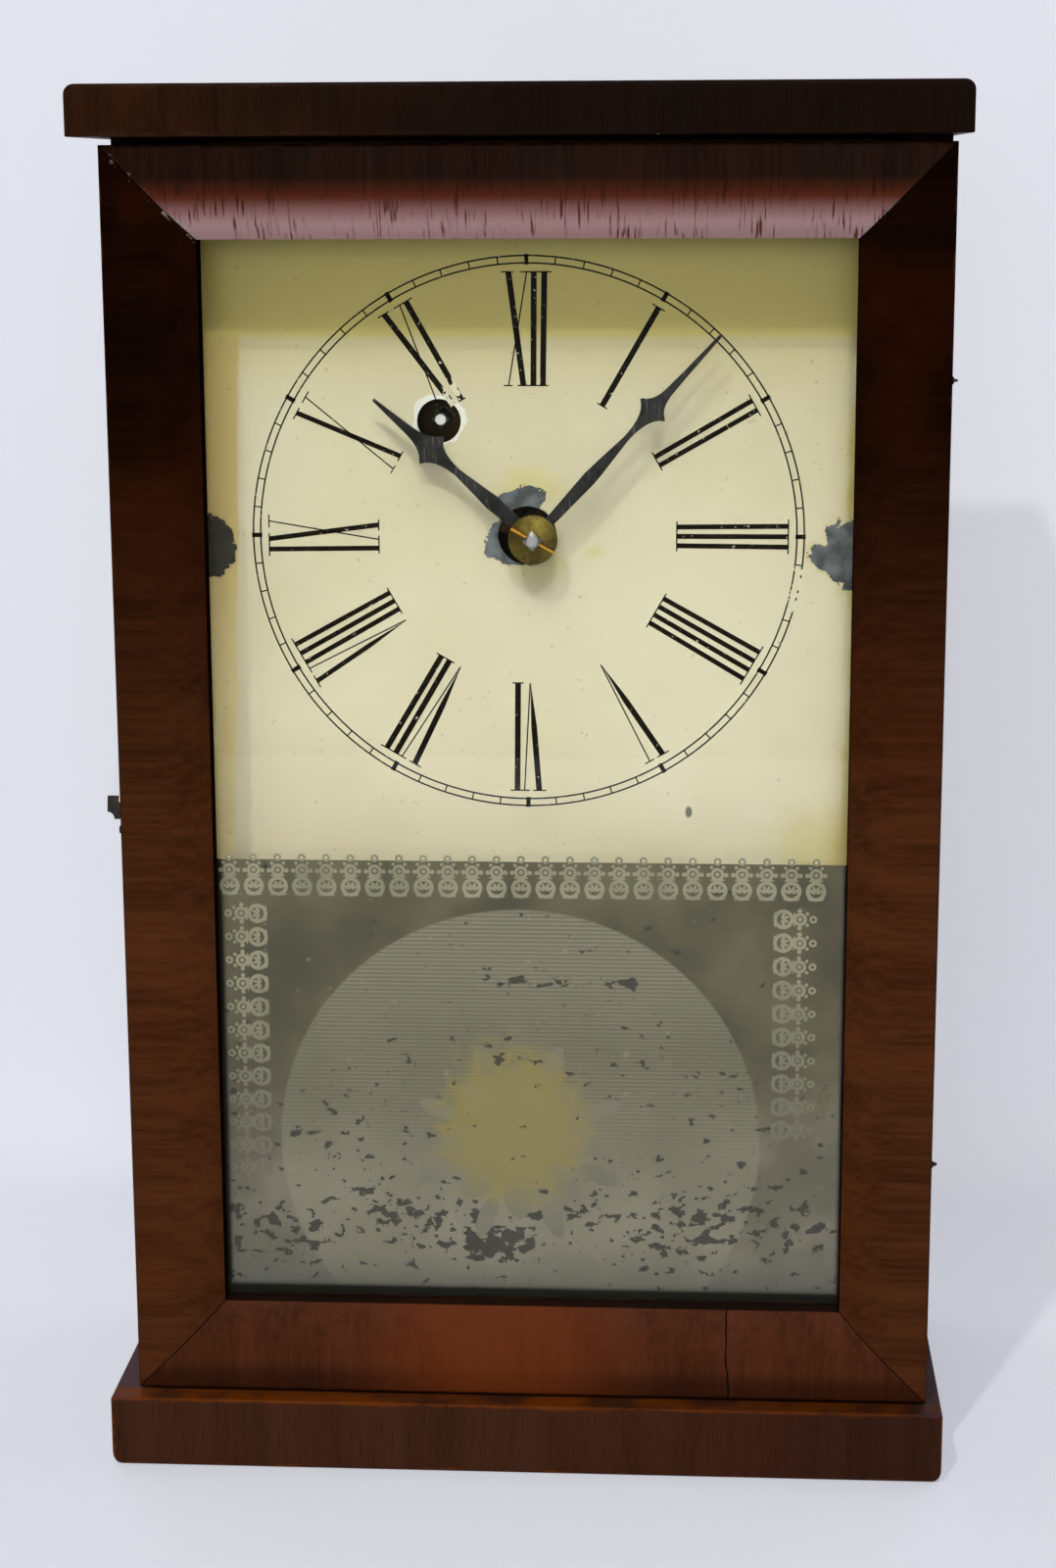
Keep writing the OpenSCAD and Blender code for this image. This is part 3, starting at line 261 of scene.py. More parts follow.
def new_group(name, inputs, outputs):
    """A shader node group whose inputs are floats, but for those that hold a place or a size."""
    group = bpy.data.node_groups.new(name, "ShaderNodeTree")
    for socket in inputs:
        kind = "Vector" if socket in place_sockets else "Float"
        group.interface.new_socket(socket, in_out="INPUT", socket_type="NodeSocket" + kind)
    for socket in outputs:
        group.interface.new_socket(socket, in_out="OUTPUT", socket_type="NodeSocketFloat")
    return group, add(group, "NodeGroupInput").outputs, add(group, "NodeGroupOutput").inputs


# Grain runs along X of the vector that comes in, which is in metres
grain, given, result = new_group("mahogany_grain", ["Vector"], ["Figure", "Streak", "Pores"])
figure = noise(grain, mapped(grain, given["Vector"], scale=(9, 150, 150)), 1, detail=4)
streak = noise(grain, mapped(grain, given["Vector"], scale=(35, 800, 800)), 1, detail=4, roughness=0.6)
fleck = noise(grain, mapped(grain, given["Vector"], scale=(170, 4600, 4600)), 1, detail=1)
grain.links.new(step(grain, figure, 0.33, 0.67), result["Figure"])
grain.links.new(step(grain, streak, 0.32, 0.7), result["Streak"])
grain.links.new(step(grain, fleck, 0.6, 0.72), result["Pores"])

# The second least of the distances to the faces of a box is small only near the box's edges
worn_edge, given, result = new_group("worn_edge", ["Vector", "Low", "High", "Width"], ["Mask"])
from_low = vector_maths(worn_edge, "SUBTRACT", given["Vector"], given["Low"])[0]
from_high = vector_maths(worn_edge, "SUBTRACT", given["High"], given["Vector"])[0]
gap = split(worn_edge, vector_maths(worn_edge, "MINIMUM", from_low, from_high)[0])
least = maths(worn_edge, "MINIMUM", gap[0], gap[1])
greatest = maths(worn_edge, "MAXIMUM", gap[0], gap[1])
second = maths(worn_edge, "MAXIMUM", least, maths(worn_edge, "MINIMUM", greatest, gap[2]))
rubbed = noise(worn_edge, given["Vector"], 160, detail=5, roughness=0.65)
reach = maths(worn_edge, "MULTIPLY", given["Width"], step(worn_edge, rubbed, 0.36, 0.66))
worn_edge.links.new(maths(worn_edge, "LESS_THAN", second, reach), result["Mask"])


def use(tree, group, **sockets):
    return add(tree, "ShaderNodeGroup", sockets, node_tree=group).outputs


def above(tree, place, low, high, axis=2):
    """Nought below one height and one above another, or the same along X or Y."""
    return step(tree, split(tree, place)[axis], low, high)


def tint(tree, body, mask, share, paint):
    """The body's colour with a share of a paint over it where the mask is one."""
    return mix(tree, maths(tree, "MULTIPLY", mask, share), body, color(*paint))


def off_from(tree, value, middle):
    """How far a value is from a middle, to either side."""
    return maths(tree, "ABSOLUTE", maths(tree, "SUBTRACT", value, middle))


painted_shade_low, painted_shade_high = 0.12, 0.25  # the heights between which the wood's painted shade changes


def veneer(name, turn, dark, middle, light, painted_shade=(1, 1), box=None, edge=(104, 52, 22),
           edge_width=0.0012):
    """Polished mahogany: its grain is turned to lie as wanted, and a painted shade may darken it up the
    clock.
    """
    material, tree, shader = new_material(name)
    shader.inputs["Specular IOR Level"].default_value = 0.04
    place = place_on(tree)
    parts = use(tree, grain, Vector=mapped(tree, place, turn=turn))
    body = mix(tree, parts["Figure"], color(*dark), color(*middle))
    body = tint(tree, body, parts["Streak"], 0.35, light)
    body = tint(tree, body, parts["Pores"], 0.4, (16, 7, 3))
    # Painted shade: the wood is painted darker towards the top of the clock, where less light reaches it
    shade = ranged(tree, above(tree, place, painted_shade_low, painted_shade_high), *painted_shade)
    body = add(tree, "ShaderNodeVectorMath", {0: body, 3: shade}, operation="SCALE").outputs[0]
    patch = step(tree, noise(tree, place, 26, detail=3), 0.42, 0.62)
    body = tint(tree, body, patch, 0.12, (104, 46, 20))
    if box:
        wear_and_highlight = use(tree, worn_edge, Vector=place, Low=box[0], High=box[1], Width=edge_width)
        body = mix(tree, wear_and_highlight["Mask"], body, color(*edge))
    polish = noise(tree, place, 90, detail=4)
    rough = ranged(tree, polish, 0.34, 0.56)
    crackle = noise(tree, place, 1500, detail=3, roughness=0.7)
    relief = maths(tree, "SUBTRACT", crackle, maths(tree, "MULTIPLY", parts["Pores"], 0.6))
    return material, tree, shader, place, body, rough, relief


UPRIGHT = (0, 90, 0)
ACROSS = (0, 0, 0)

lid, tree, shader, place, body, rough, relief = veneer(
    "lid_veneer", UPRIGHT, (32, 17, 5), (46, 25, 8), (65, 35, 12),
    box=(top_low, top_high), edge=(60, 34, 20))
right_part = above(tree, place, -0.09, 0.01, axis=0)
body = tint(tree, body, right_part, 0.82, (16, 7, 2))
finish_with(tree, shader, body, rough, relief)
give(lid, nodes["top_board"])

foot, tree, shader, place, body, rough, relief = veneer(
    "base_veneer", UPRIGHT, (66, 38, 23), (78, 45, 29), (88, 51, 33),
    box=(base_low, base_high), edge=(104, 52, 18))
along = split(tree, place)
ledge = above(tree, place, base_high.z - 0.0009, base_high.z - 0.0002)
past_door_from, past_door_to = 0.0855, 0.089
ends = step(tree, off_from(tree, along[0], case_middle_x), past_door_from, past_door_to)
body = mix(tree, maths(tree, "MULTIPLY", ledge, ends), body, color(92, 64, 66))
bare = maths(tree, "MULTIPLY", ledge, step(tree, noise(tree, place, 70, detail=5), 0.38, 0.58))
bare = maths(tree, "MULTIPLY", bare, step(tree, along[1], front_y + 0.0016, front_y + 0.0004))
body = mix(tree, bare, body, color(128, 62, 14))
body = tint(tree, body, above(tree, place, 0, 0.09, axis=0), 0.4, (28, 16, 14))
finish_with(tree, shader, body, rough, relief)
give(foot, nodes["base_board"])

# Case sides
# Mahogany boards with the grain upright, glued between the two boards. The backboard sits in their
# rebates, and the eyes of the door's hinges are driven into the right one.
sides, tree, shader, place, body, rough, relief = veneer(
    "side_wood", UPRIGHT, (36, 16, 7), (52, 24, 10), (76, 38, 18), painted_shade=(2.6, 0.6))
finish_with(tree, shader, body, rough, relief)
give(sides, nodes["case_side_left"], nodes["case_side_right"])

# Backboard, dial blocks and seat strips
# Plain sawn pine, never finished, browned by age. The backboard is nailed into the rebates, and the
# blocks and strips are glued inside to carry the dial and the movement.
pine, tree, shader = new_material("old_pine", Roughness=0.8)
shader.inputs["Specular IOR Level"].default_value = 0.2
place = place_on(tree)
parts = use(tree, grain, Vector=mapped(tree, place, scale=(0.4, 0.4, 0.4), turn=UPRIGHT))
body = mix(tree, parts["Figure"], color(148, 112, 70), color(176, 140, 94))
body = tint(tree, body, parts["Streak"], 0.5, (122, 84, 48))
soil = step(tree, noise(tree, place, 18, detail=5), 0.5, 0.72)
body = tint(tree, body, soil, 0.5, (84, 60, 38))
saw_marks = noise(tree, mapped(tree, place, scale=(1, 1, 9)), 120, detail=2)
finish_with(tree, shader, body, None, maths(tree, "ADD", saw_marks, parts["Streak"]), depth=0.0002)
give(pine, *[nodes[name] for name in ("back_board", "dial_block_left", "dial_block_right",
                                      "seat_strips")])

# Movement: brass parts
# Plates, wheels, hubs and the pendulum are cut, turned and riveted from sheet and rod brass. The
# brass has dulled brown in clouds, with some darker stains.
brass_colors = {"bright": (176, 140, 74), "dull": (104, 80, 44), "stain_and_shadow": (62, 50, 32)}


def brass_finish(name, scale=60, bright=brass_colors["bright"], dull=brass_colors["dull"]):
    material, tree, shader = new_material(name, Metallic=1)
    place = place_on(tree)
    cloud = step(tree, noise(tree, place, scale, detail=5, roughness=0.6), 0.35, 0.66)
    body = mix(tree, cloud, color(*bright), color(*dull))
    spot = step(tree, noise(tree, place, scale * 5, detail=3, roughness=0.7), 0.6, 0.7)
    body = tint(tree, body, spot, 0.7, brass_colors["stain_and_shadow"])
    rough = ranged(tree, cloud, 0.26, 0.5)
    drawn = noise(tree, mapped(tree, place, scale=(1, 1, 14)), 500, detail=2)
    finish_with(tree, shader, body, rough, drawn, depth=0.00001)
    return material


movement_brass = brass_finish("movement_brass")
give(movement_brass, *[nodes[name] for name in (
    "back_plate", "pillars", "ratchet_wheel", "great_wheel", "click", "centre_wheel",
    "third_wheel", "escape_wheel", "crutch", "suspension_post", "pendulum_rod", "rating_nut")])
give(brass_finish("bob_brass", scale=35, bright=(204, 166, 90)), nodes["pendulum_bob"])
# Painted shade: the front plate and the motion work are painted nearly black, for the deep shade behind the
# dial
give(brass_finish("painted_shade_brass", scale=40, bright=(56, 44, 24), dull=(30, 24, 14)),
     nodes["front_plate"], nodes["hour_wheel"], nodes["minute_wheel"], nodes["cannon_pinion"])

# Movement: steel parts
# Arbors, pins, studs, screws and springs. They are drawn or forged steel, grey and slightly pitted.
# The mainspring and the verge strip keep the blue brown of their tempering.


def steel_finish(name, clean, aged, rust=(70, 46, 32), rust_share=0.66, scale=150):
    material, tree, shader = new_material(name, Metallic=0.95)
    place = place_on(tree)
    cloud = step(tree, noise(tree, place, scale, detail=5, roughness=0.65), 0.35, 0.65)
    body = mix(tree, cloud, color(*clean), color(*aged))
    pit = step(tree, noise(tree, place, scale * 4, detail=3, roughness=0.7), rust_share, rust_share + 0.1)
    body = mix(tree, pit, body, color(*rust))
    rough = ranged(tree, cloud, 0.3, 0.55)
    finish_with(tree, shader, body, rough, pit, depth=0.00002)
    return material


arbor_steel = steel_finish("arbor_steel", (178, 178, 178), (120, 118, 114))
give(arbor_steel, *[nodes[name] for name in (
    "centre_arbor", "third_arbor", "escape_arbor", "verge_arbor", "pillar_pins",
    "click_spring", "minute_wheel_stud", "movement_screws", "suspension_spring")])
winding_steel, tree, shader = new_material("winding_steel", Metallic=1, Roughness=0.4)
key_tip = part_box("winding_arbor")[0].y  # only the end of the square is painted bright, a painted highlight where it sits in shade
wear_and_highlight = above(tree, place_on(tree), key_tip + 0.0018, key_tip + 0.0008, axis=1)
finish_with(tree, shader, mix(tree, wear_and_highlight, color(56, 52, 46), color(216, 216, 212)))
give(winding_steel, nodes["winding_arbor"])
tempered_steel = steel_finish("tempered_steel", (74, 82, 104), (58, 50, 52), scale=60)
give(tempered_steel, nodes["mainspring"], nodes["verge_strip"])

# Dial
# A nearly square sheet of zinc, painted cream and held to the two blocks by six brass screws. The paint
# has yellowed at the edges and flaked off to the grey metal where the door and the hands rubbed it.
# Painted shade darkens the dial's top, its upper part and its left edge.
dial_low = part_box("dial_plate")[0]
joint_places = {joint["name"]: Vector(joint["pos_m"]) for joint in frame["joints"]}
hub = joint_places["minute_hand_turn"]
winding = joint_places["winding_turn"]

flaked, given, result = new_group("flaked_patch", ["Vector", "Middle", "Reach", "Ragged", "Soft"], ["Mask"])
offset = vector_maths(flaked, "SUBTRACT", given["Vector"], given["Middle"])[0]
away = vector_maths(flaked, "LENGTH", vector_maths(flaked, "DIVIDE", offset, given["Reach"])[0])[1]
broken = maths(flaked, "SUBTRACT", noise(flaked, given["Vector"], 240, detail=6, roughness=0.62), 0.5)
away = maths(flaked, "ADD", away, maths(flaked, "MULTIPLY", broken, given["Ragged"]))
outer = maths(flaked, "ADD", 1, given["Soft"])
inner = maths(flaked, "SUBTRACT", 1, given["Soft"])
flaked.links.new(step(flaked, away, outer, inner), result["Mask"])


def patch_at(tree, place, x, z, reach_x, reach_z, ragged=1.6, soft=0.02):
    """A ragged patch whose middle is at x and z from the hub, in millimetres."""
    return use(tree, flaked, Vector=place, Middle=(hub.x + x * MM, dial_low.y, hub.z + z * MM),
               Reach=(reach_x * MM, 0.01, reach_z * MM), Ragged=ragged, Soft=soft)["Mask"]


def most(tree, *masks):
    found = masks[0]
    for mask in masks[1:]:
        found = maths(tree, "MAXIMUM", found, mask)
    return found


dial_paint, tree, shader = new_material("dial_paint")
shader.inputs["Specular IOR Level"].default_value = 0.3
place = place_on(tree)
along = split(tree, place)

# The yellowed bands along the edges wander by a few millimetres, and the left one leans. The left band is
# also painted shade of the left stile, and is painted lighter towards the bottom.
wander = maths(tree, "MULTIPLY", maths(tree, "SUBTRACT", noise(tree, place, 45, detail=4), 0.5), 0.012)
cream = mix(tree, step(tree, noise(tree, place, 22, detail=4), 0.35, 0.7), color(232, 223, 194),
            color(224, 213, 181))
# Painted shade: the dial's upper part is painted darker, where the light falls off towards the top
painted_shade_upper = above(tree, place, 0.15, 0.27)
cream = tint(tree, cream, painted_shade_upper, 0.4, (178, 168, 124))
lean = maths(tree, "MULTIPLY", maths(tree, "SUBTRACT", 0.22, along[2]), 0.03)
leaning = maths(tree, "ADD", along[0], lean)
left_line = maths(tree, "ADD", leaning, maths(tree, "MULTIPLY", wander, 0.2))
far_line = maths(tree, "ADD", along[0], maths(tree, "MULTIPLY", wander, 0.5))
left_yellow_and_shade = step(tree, left_line, -0.0638, -0.065)
right_edge = step(tree, maths(tree, "ADD", along[0], wander), 0.0665, 0.0745)
far_edge = step(tree, far_line, 0.07, 0.0718)
foot_edge = maths(tree, "MULTIPLY", 0.12, step(tree, maths(tree, "ADD", along[2], wander), 0.146, 0.134))
corner = most(tree, patch_at(tree, place, 72, -71, 6, 8, 1, 0.6),
              patch_at(tree, place, 70, 58, 4, 10, 1, 0.6))

# Painted shadow: the dial's top is painted a yellow olive where the door's top rail shades it, most above a
# line a little below the door's frame, and fading out below
painted_shadow_top = maths(tree, "MULTIPLY", 0.6, step(tree, along[2], 0.2508, 0.2532))
painted_shadow_soft = maths(tree, "MULTIPLY", 0.35, step(tree, along[2], 0.236, 0.256))
painted_shadow_top = maths(tree, "ADD", painted_shadow_top, painted_shadow_soft)
tan_and_shade = mix(tree, above(tree, place, 0.215, 0.17), color(206, 178, 104), color(232, 212, 150))
body = mix(tree, maths(tree, "MULTIPLY", most(tree, left_yellow_and_shade, foot_edge), 0.85), cream, tan_and_shade)
body = tint(tree, body, right_edge, 0.5, (204, 186, 104))
body = tint(tree, body, far_edge, 0.7, (186, 168, 80))
body = tint(tree, body, corner, 0.7, (190, 146, 62))
body = mix(tree, painted_shadow_top, body, color(208, 190, 106))
# Yellow stains, and below the hub a painted yellow tint where the washer's shadow falls
stain_and_shadow = most(tree, patch_at(tree, place, -1, 10.6, 7, 4.2, 1.4, 0.5),
             patch_at(tree, place, 0.6, -7, 6, 4.4, 1, 0.5),
             patch_at(tree, place, 13, -3.7, 2, 1.4, 1.6, 0.6),
             patch_at(tree, place, 64, -70, 10, 9, 1.2, 0.6))
body = tint(tree, body, stain_and_shadow, 0.45, (208, 194, 104))
speck = step(tree, noise(tree, place, 700, detail=2), 0.7, 0.76)
body = tint(tree, body, speck, 0.35, (150, 136, 96))
soot = patch_at(tree, place, 34.4, -62.2, 0.7, 1.2, 1.3, 0.3)
body = tint(tree, body, soot, 0.8, (48, 42, 30))

# The zinc shows round the hands, and at both sides, where there is a yellow rim round it
bare = most(tree, patch_at(tree, place, -3, 7, 5.4, 3.4, 2),
            patch_at(tree, place, -6.6, -1.6, 4.2, 4.4, 2),
            patch_at(tree, place, -4.6, -3.6, 5, 3.2, 1.6),
            patch_at(tree, place, -2, 0.6, 6.4, 7, 0.8),
            patch_at(tree, place, -72.3, -2.2, 6, 6.8, 1.4),
            patch_at(tree, place, 68.6, -3.8, 5, 7.6, 1.5),
            patch_at(tree, place, 64.4, -4.6, 4, 3.2, 1.5))
rim = most(tree, patch_at(tree, place, -72.3, -2.2, 6.7, 7.5, 1.4, 0.2),
           patch_at(tree, place, 68.6, -3.8, 5.7, 8.4, 1.5, 0.2),
           patch_at(tree, place, 64.4, -4.6, 4.7, 3.9, 1.5, 0.2))
body = tint(tree, body, rim, 0.45, (206, 188, 122))
chip = patch_at(tree, place, (winding.x - hub.x) / MM, (winding.z - hub.z) / MM, 5.7, 5.7, 0.9)
body = mix(tree, chip, body, color(236, 234, 224))
zinc = mix(tree, step(tree, noise(tree, place, 300, detail=4), 0.35, 0.65), color(116, 120, 122),
           color(80, 84, 86))
zinc = tint(tree, zinc, left_yellow_and_shade, 0.85, (62, 58, 46))
body = mix(tree, bare, body, zinc)
rough = ranged(tree, bare, 0.42, 0.5)
height = maths(tree, "SUBTRACT", maths(tree, "MULTIPLY", noise(tree, place, 900, detail=2), 0.15), bare)
finish_with(tree, shader, body, rough, height, depth=0.00012)
tree.links.new(maths(tree, "MULTIPLY", bare, 0.6), shader.inputs["Metallic"])
give(dial_paint, nodes["dial_plate"])

# Numerals and minute ring
# Black paint drawn on the dial: roman numerals with their feet to the middle, thick and thin strokes
# and fine serifs, and a ring of sixty marks. It is rubbed through in specks.
paint_thick = 0.03
paint_sunk = 0.005
paint_y = dial_low.y / MM - paint_thick / 2 + paint_sunk
ring_x = hub.x / MM - 1.7
ring_z = hub.z / MM - 0.1
foot_r, head_r = 33.0, 57.5
thin_w, serif_w = 0.3, 0.3
ring_radii = (59.4, 61.0)
ring_w = 0.36
mark_w, long_mark_w, twelve_mark_w, long_mark_past = 0.3, 1.0, 0.9, 0.35


def select_only(*pieces):
    """Selects these pieces and nothing else, with the first of them active."""
    bpy.ops.object.select_all(action="DESELECT")
    for piece in pieces:
        piece.select_set(True)
    bpy.context.view_layer.objects.active = pieces[0]


def painted_ends(angle, start, end):
    """Two places of a numeral, each given as a distance across it and out from the middle."""
    turn = math.radians(angle)
    return [Vector((ring_x + r * math.sin(turn) + u * math.cos(turn), paint_y,
                    ring_z + r * math.cos(turn) - u * math.sin(turn))) * MM for u, r in (start, end)]


def wedge(angle, start, end, width):
    """A stroke that narrows to a point: a prism whose three sides are drawn out long."""
    ends = painted_ends(angle, start, end)
    way = ends[1] - ends[0]
    bpy.ops.mesh.primitive_cylinder_add(vertices=3, radius=1, depth=1, location=ends[0] + way / 3,
                                        rotation=(math.radians(90), math.atan2(way.x, way.z), 0),
                                        scale=(width * MM / math.sqrt(3), way.length / 1.5, paint_thick * MM))


def stroke(angle, start, end, width):
    """A painted stroke from one place to another, as wide at both."""
    ends = painted_ends(angle, start, end)
    way = ends[1] - ends[0]
    bpy.ops.mesh.primitive_cube_add(size=1, location=(ends[0] + ends[1]) / 2,
                                    rotation=(0, math.atan2(way.x, way.z), 0),
                                    scale=(width * MM, paint_thick * MM, way.length))


def joined_up(spans):
    """Serifs that touch, or nearly, made one."""
    found = []
    for low, high in sorted(spans):
        if found and low <= found[-1][1] + 0.1:
            found[-1][1] = max(found[-1][1], high)
        else:
            found.append([low, high])
    return found


def numeral(angle, letters, thick_w):
    """Letters are drawn from left to right, which is clockwise, and centred on their radius."""
    step_on = {"I": 2.3, "V": 4.9, "X": 5.55}
    wide = {"I": 0, "V": 3.3, "X": 4.0}
    total = sum(step_on[letter] for letter in letters[:-1]) + wide[letters[-1]]
    at = -total / 2
    heads, feet = [], []
    for letter in letters:
        if letter == "I":
            stroke(angle, (at * 0.9, foot_r), (at, head_r), thick_w)
            heads.append((at - 1.55, at + 1.55))
            feet.append((at * 0.9 - 1.25, at * 0.9 + 1.25))
        elif letter == "X":
            stroke(angle, (at + 3.2, foot_r), (at, head_r), thick_w)
            stroke(angle, (at - 0.05, foot_r), (at + 4, head_r), thin_w)
            heads += [(at - 1.6, at + 1.25), (at + 2.5, at + 5.4)]
            feet += [(at - 1.15, at + 0.8), (at + 1.9, at + 4.4)]
        else:
            stroke(angle, (at, head_r), (at + 1.1, head_r - 14.5), thick_w)
            wedge(angle, (at + 1.1, head_r - 14.5), (at + 1.85, foot_r), thick_w)
            stroke(angle, (at + 1.95, foot_r), (at + 3.3, head_r), thin_w)
            heads += [(at - 1.6, at + 1.4), (at + 2.2, at + 4.6)]
        at += step_on[letter]
    for spans, r in ((heads, head_r), (feet, foot_r)):
        for low, high in joined_up(spans):
            stroke(angle, (low, r), (high, r), serif_w)


bpy.ops.object.select_all(action="DESELECT")
twelve = Vector((ring_x, paint_y, ring_z + sum(ring_radii) / 2)) * MM
twelve_mark_long = ring_radii[1] - ring_radii[0] + 2 * long_mark_past
bpy.ops.mesh.primitive_cube_add(size=1, location=twelve,
                                scale=(twelve_mark_w * MM, paint_thick * MM, twelve_mark_long * MM))
numerals = bpy.context.object
numerals.name = "dial_numerals"
bpy.ops.object.transform_apply(location=True, rotation=True, scale=True)
bpy.ops.object.mode_set(mode="EDIT")
hours = ["XII", "I", "II", "III", "IIII", "V", "VI", "VII", "VIII", "IX", "X", "XI"]
for hour, letters in enumerate(hours):
    numeral(hour * 30, letters, 1.3 if hour in (0, 1, 5, 6, 7, 11) else 1.1)
for minute in range(1, 60):
    long_mark = minute % 5 == 0
    past = long_mark_past if long_mark else 0
    stroke(minute * 6, (0, ring_radii[0] - past), (0, ring_radii[1] + past),
           long_mark_w if long_mark else mark_w)
bpy.ops.object.mode_set(mode="OBJECT")

# Each ring is the small rectangle of its section, turned round the middle of the dial
ring_pieces = [numerals]
for radius in ring_radii:
    bpy.ops.object.select_all(action="DESELECT")
    bpy.ops.mesh.primitive_plane_add(size=1, rotation=(0, 0, 0),
                                     location=Vector((ring_x + radius, paint_y, ring_z)) * MM)
    ring = bpy.context.object
    ring.scale = (ring_w * MM, paint_thick * MM, 1)
    bpy.ops.object.transform_apply(location=True, rotation=True, scale=True)
    bpy.ops.object.mode_set(mode="EDIT")
    bpy.ops.mesh.select_all(action="SELECT")
    bpy.ops.mesh.delete(type="ONLY_FACE")
    bpy.ops.mesh.select_all(action="SELECT")
    bpy.ops.mesh.spin(steps=240, angle=2 * math.pi, axis=(0, 1, 0),
                      center=Vector((ring_x, paint_y, ring_z)) * MM)
    bpy.ops.mesh.select_all(action="SELECT")
    bpy.ops.mesh.remove_doubles(threshold=0.000002)
    bpy.ops.mesh.normals_make_consistent(inside=False)
    bpy.ops.object.mode_set(mode="OBJECT")
    ring_pieces.append(ring)
select_only(*ring_pieces)
bpy.ops.object.join()

numeral_paint, tree, shader = new_material("numeral_paint", Roughness=0.45)
shader.inputs["Specular IOR Level"].default_value = 0.05
place = place_on(tree)
nick = step(tree, noise(tree, place, 900, detail=4, roughness=0.7), 0.63, 0.67)
rubbed = most(tree, patch_at(tree, place, 60, -12, 4, 6, 2),
              patch_at(tree, place, -17.6, 31, 2.6, 3.4, 1.6), patch_at(tree, place, 33, -39, 4, 4, 2))
gone = maths(tree, "MULTIPLY", rubbed, step(tree, noise(tree, place, 600, detail=3), 0.46, 0.5))
gone = most(tree, maths(tree, "MULTIPLY", nick, 0.8), gone)
body = mix(tree, gone, color(22, 15, 6), color(226, 219, 192))
finish_with(tree, shader, body)
give(numeral_paint, numerals)
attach(numerals, "case")

# Hands, washer and pin
# Blued steel hands, filed flat, now a dark grey with fine scratches. A dished brass washer holds
# them, and a brass pin through the square steel arbor holds the washer.
blued, tree, shader = new_material("blued_steel", Metallic=0.9)
place = place_on(tree)
cloud = step(tree, noise(tree, place, 220, detail=4, roughness=0.6), 0.36, 0.66)
body = mix(tree, cloud, color(34, 33, 33), color(56, 54, 52))
scratch = step(tree, noise(tree, mapped(tree, place, turn=(0, 42, 0), scale=(1, 1, 0.1)), 1600, detail=2),
               0.62, 0.7)
body = tint(tree, body, scratch, 0.6, (112, 114, 116))
rough = ranged(tree, cloud, 0.34, 0.52)
finish_with(tree, shader, body, rough, scratch, depth=0.00001)
give(blued, nodes["hour_hand"], nodes["minute_hand"])
give(brass_finish("washer_brass", scale=170, bright=(122, 106, 50), dull=(84, 72, 32)),
     nodes["hand_washer"])
give(brass_finish("pin_brass", scale=200, bright=(214, 160, 62), dull=(170, 120, 48)), nodes["hand_pin"])

# Door
# Two rails and two stiles of pine, faced with mahogany veneer laid across their length, rounded over
# towards the glass and mitred. The veneer has cracked in the bottom rail and chipped at the mitres.
door_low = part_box("door_stile_left")[0]
door_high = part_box("door_stile_right")[1]
door_middle = (door_low + door_high) / 2
door_half = (door_high - door_low) / 2
lip_at = 4.6 * MM
nick_near, nick_far = 0.0005, 0.0014
joint_dark, joint_clear = 0.00008, 0.00026
lip_clear, lip_dark = 0.014, 0.0155
gloss_high, gloss_low = 0.2825, 0.2763
glow_high, glow_low = 0.287, 0.2805


def joint_lines(tree, place, body):
    """The mitres' dark lines and bright nicks, painted shade on the lip round the glass, and the pine at the
    back.
    """
    offset = vector_maths(tree, "SUBTRACT", place, door_middle)[0]
    offset = vector_maths(tree, "ABSOLUTE", offset)[0]
    part = split(tree, vector_maths(tree, "SUBTRACT", door_half, offset)[0])
    off_line = off_from(tree, part[0], part[2])
    nick = step(tree, noise(tree, place, 420, detail=4, roughness=0.7), 0.56, 0.66)
    glint = maths(tree, "MULTIPLY", nick, step(tree, off_line, nick_far, nick_near))
    left_part = above(tree, place, 0.05, -0.05, axis=0)
    cracked = maths(tree, "MULTIPLY", left_part, above(tree, place, 0.2, 0.26))
    glint = maths(tree, "MULTIPLY", glint, cracked)
    body = tint(tree, body, glint, 0.8, (176, 148, 136))
    body = mix(tree, step(tree, off_line, joint_clear, joint_dark), body, color(12, 6, 4))
    # Painted shade: the lip round the glass is painted nearly black
    painted_shade_lip = above(tree, place, front_y + lip_at - 0.0002, front_y + lip_at + 0.0003, axis=1)
    from_outside = maths(tree, "MINIMUM", part[0], part[2])
    painted_shade_lip = maths(tree, "MULTIPLY", painted_shade_lip, step(tree, from_outside, lip_clear, lip_dark))
    body = tint(tree, body, painted_shade_lip, 0.9, (10, 5, 3))
    core = above(tree, place, door_high.y - 0.0012, door_high.y - 0.0004, axis=1)
    return tint(tree, body, core, 0.85, (86, 54, 32))


top_rail, tree, shader, place, body, rough, relief = veneer(
    "top_rail_veneer", UPRIGHT, (38, 22, 12), (54, 32, 18), (76, 44, 26),
    box=(door_low, door_high), edge=(80, 44, 26), edge_width=0.0006)
shader.inputs["Coat IOR"].default_value = 2.5
shader.inputs["Coat Roughness"].default_value = 0.2
dashes = noise(tree, mapped(tree, place, scale=(1, 0.08, 0.08)), 1700, detail=1)
dashed = step(tree, noise(tree, place, 130), 0.35, 0.6)
dashes = maths(tree, "MULTIPLY", step(tree, dashes, 0.53, 0.66), dashed)
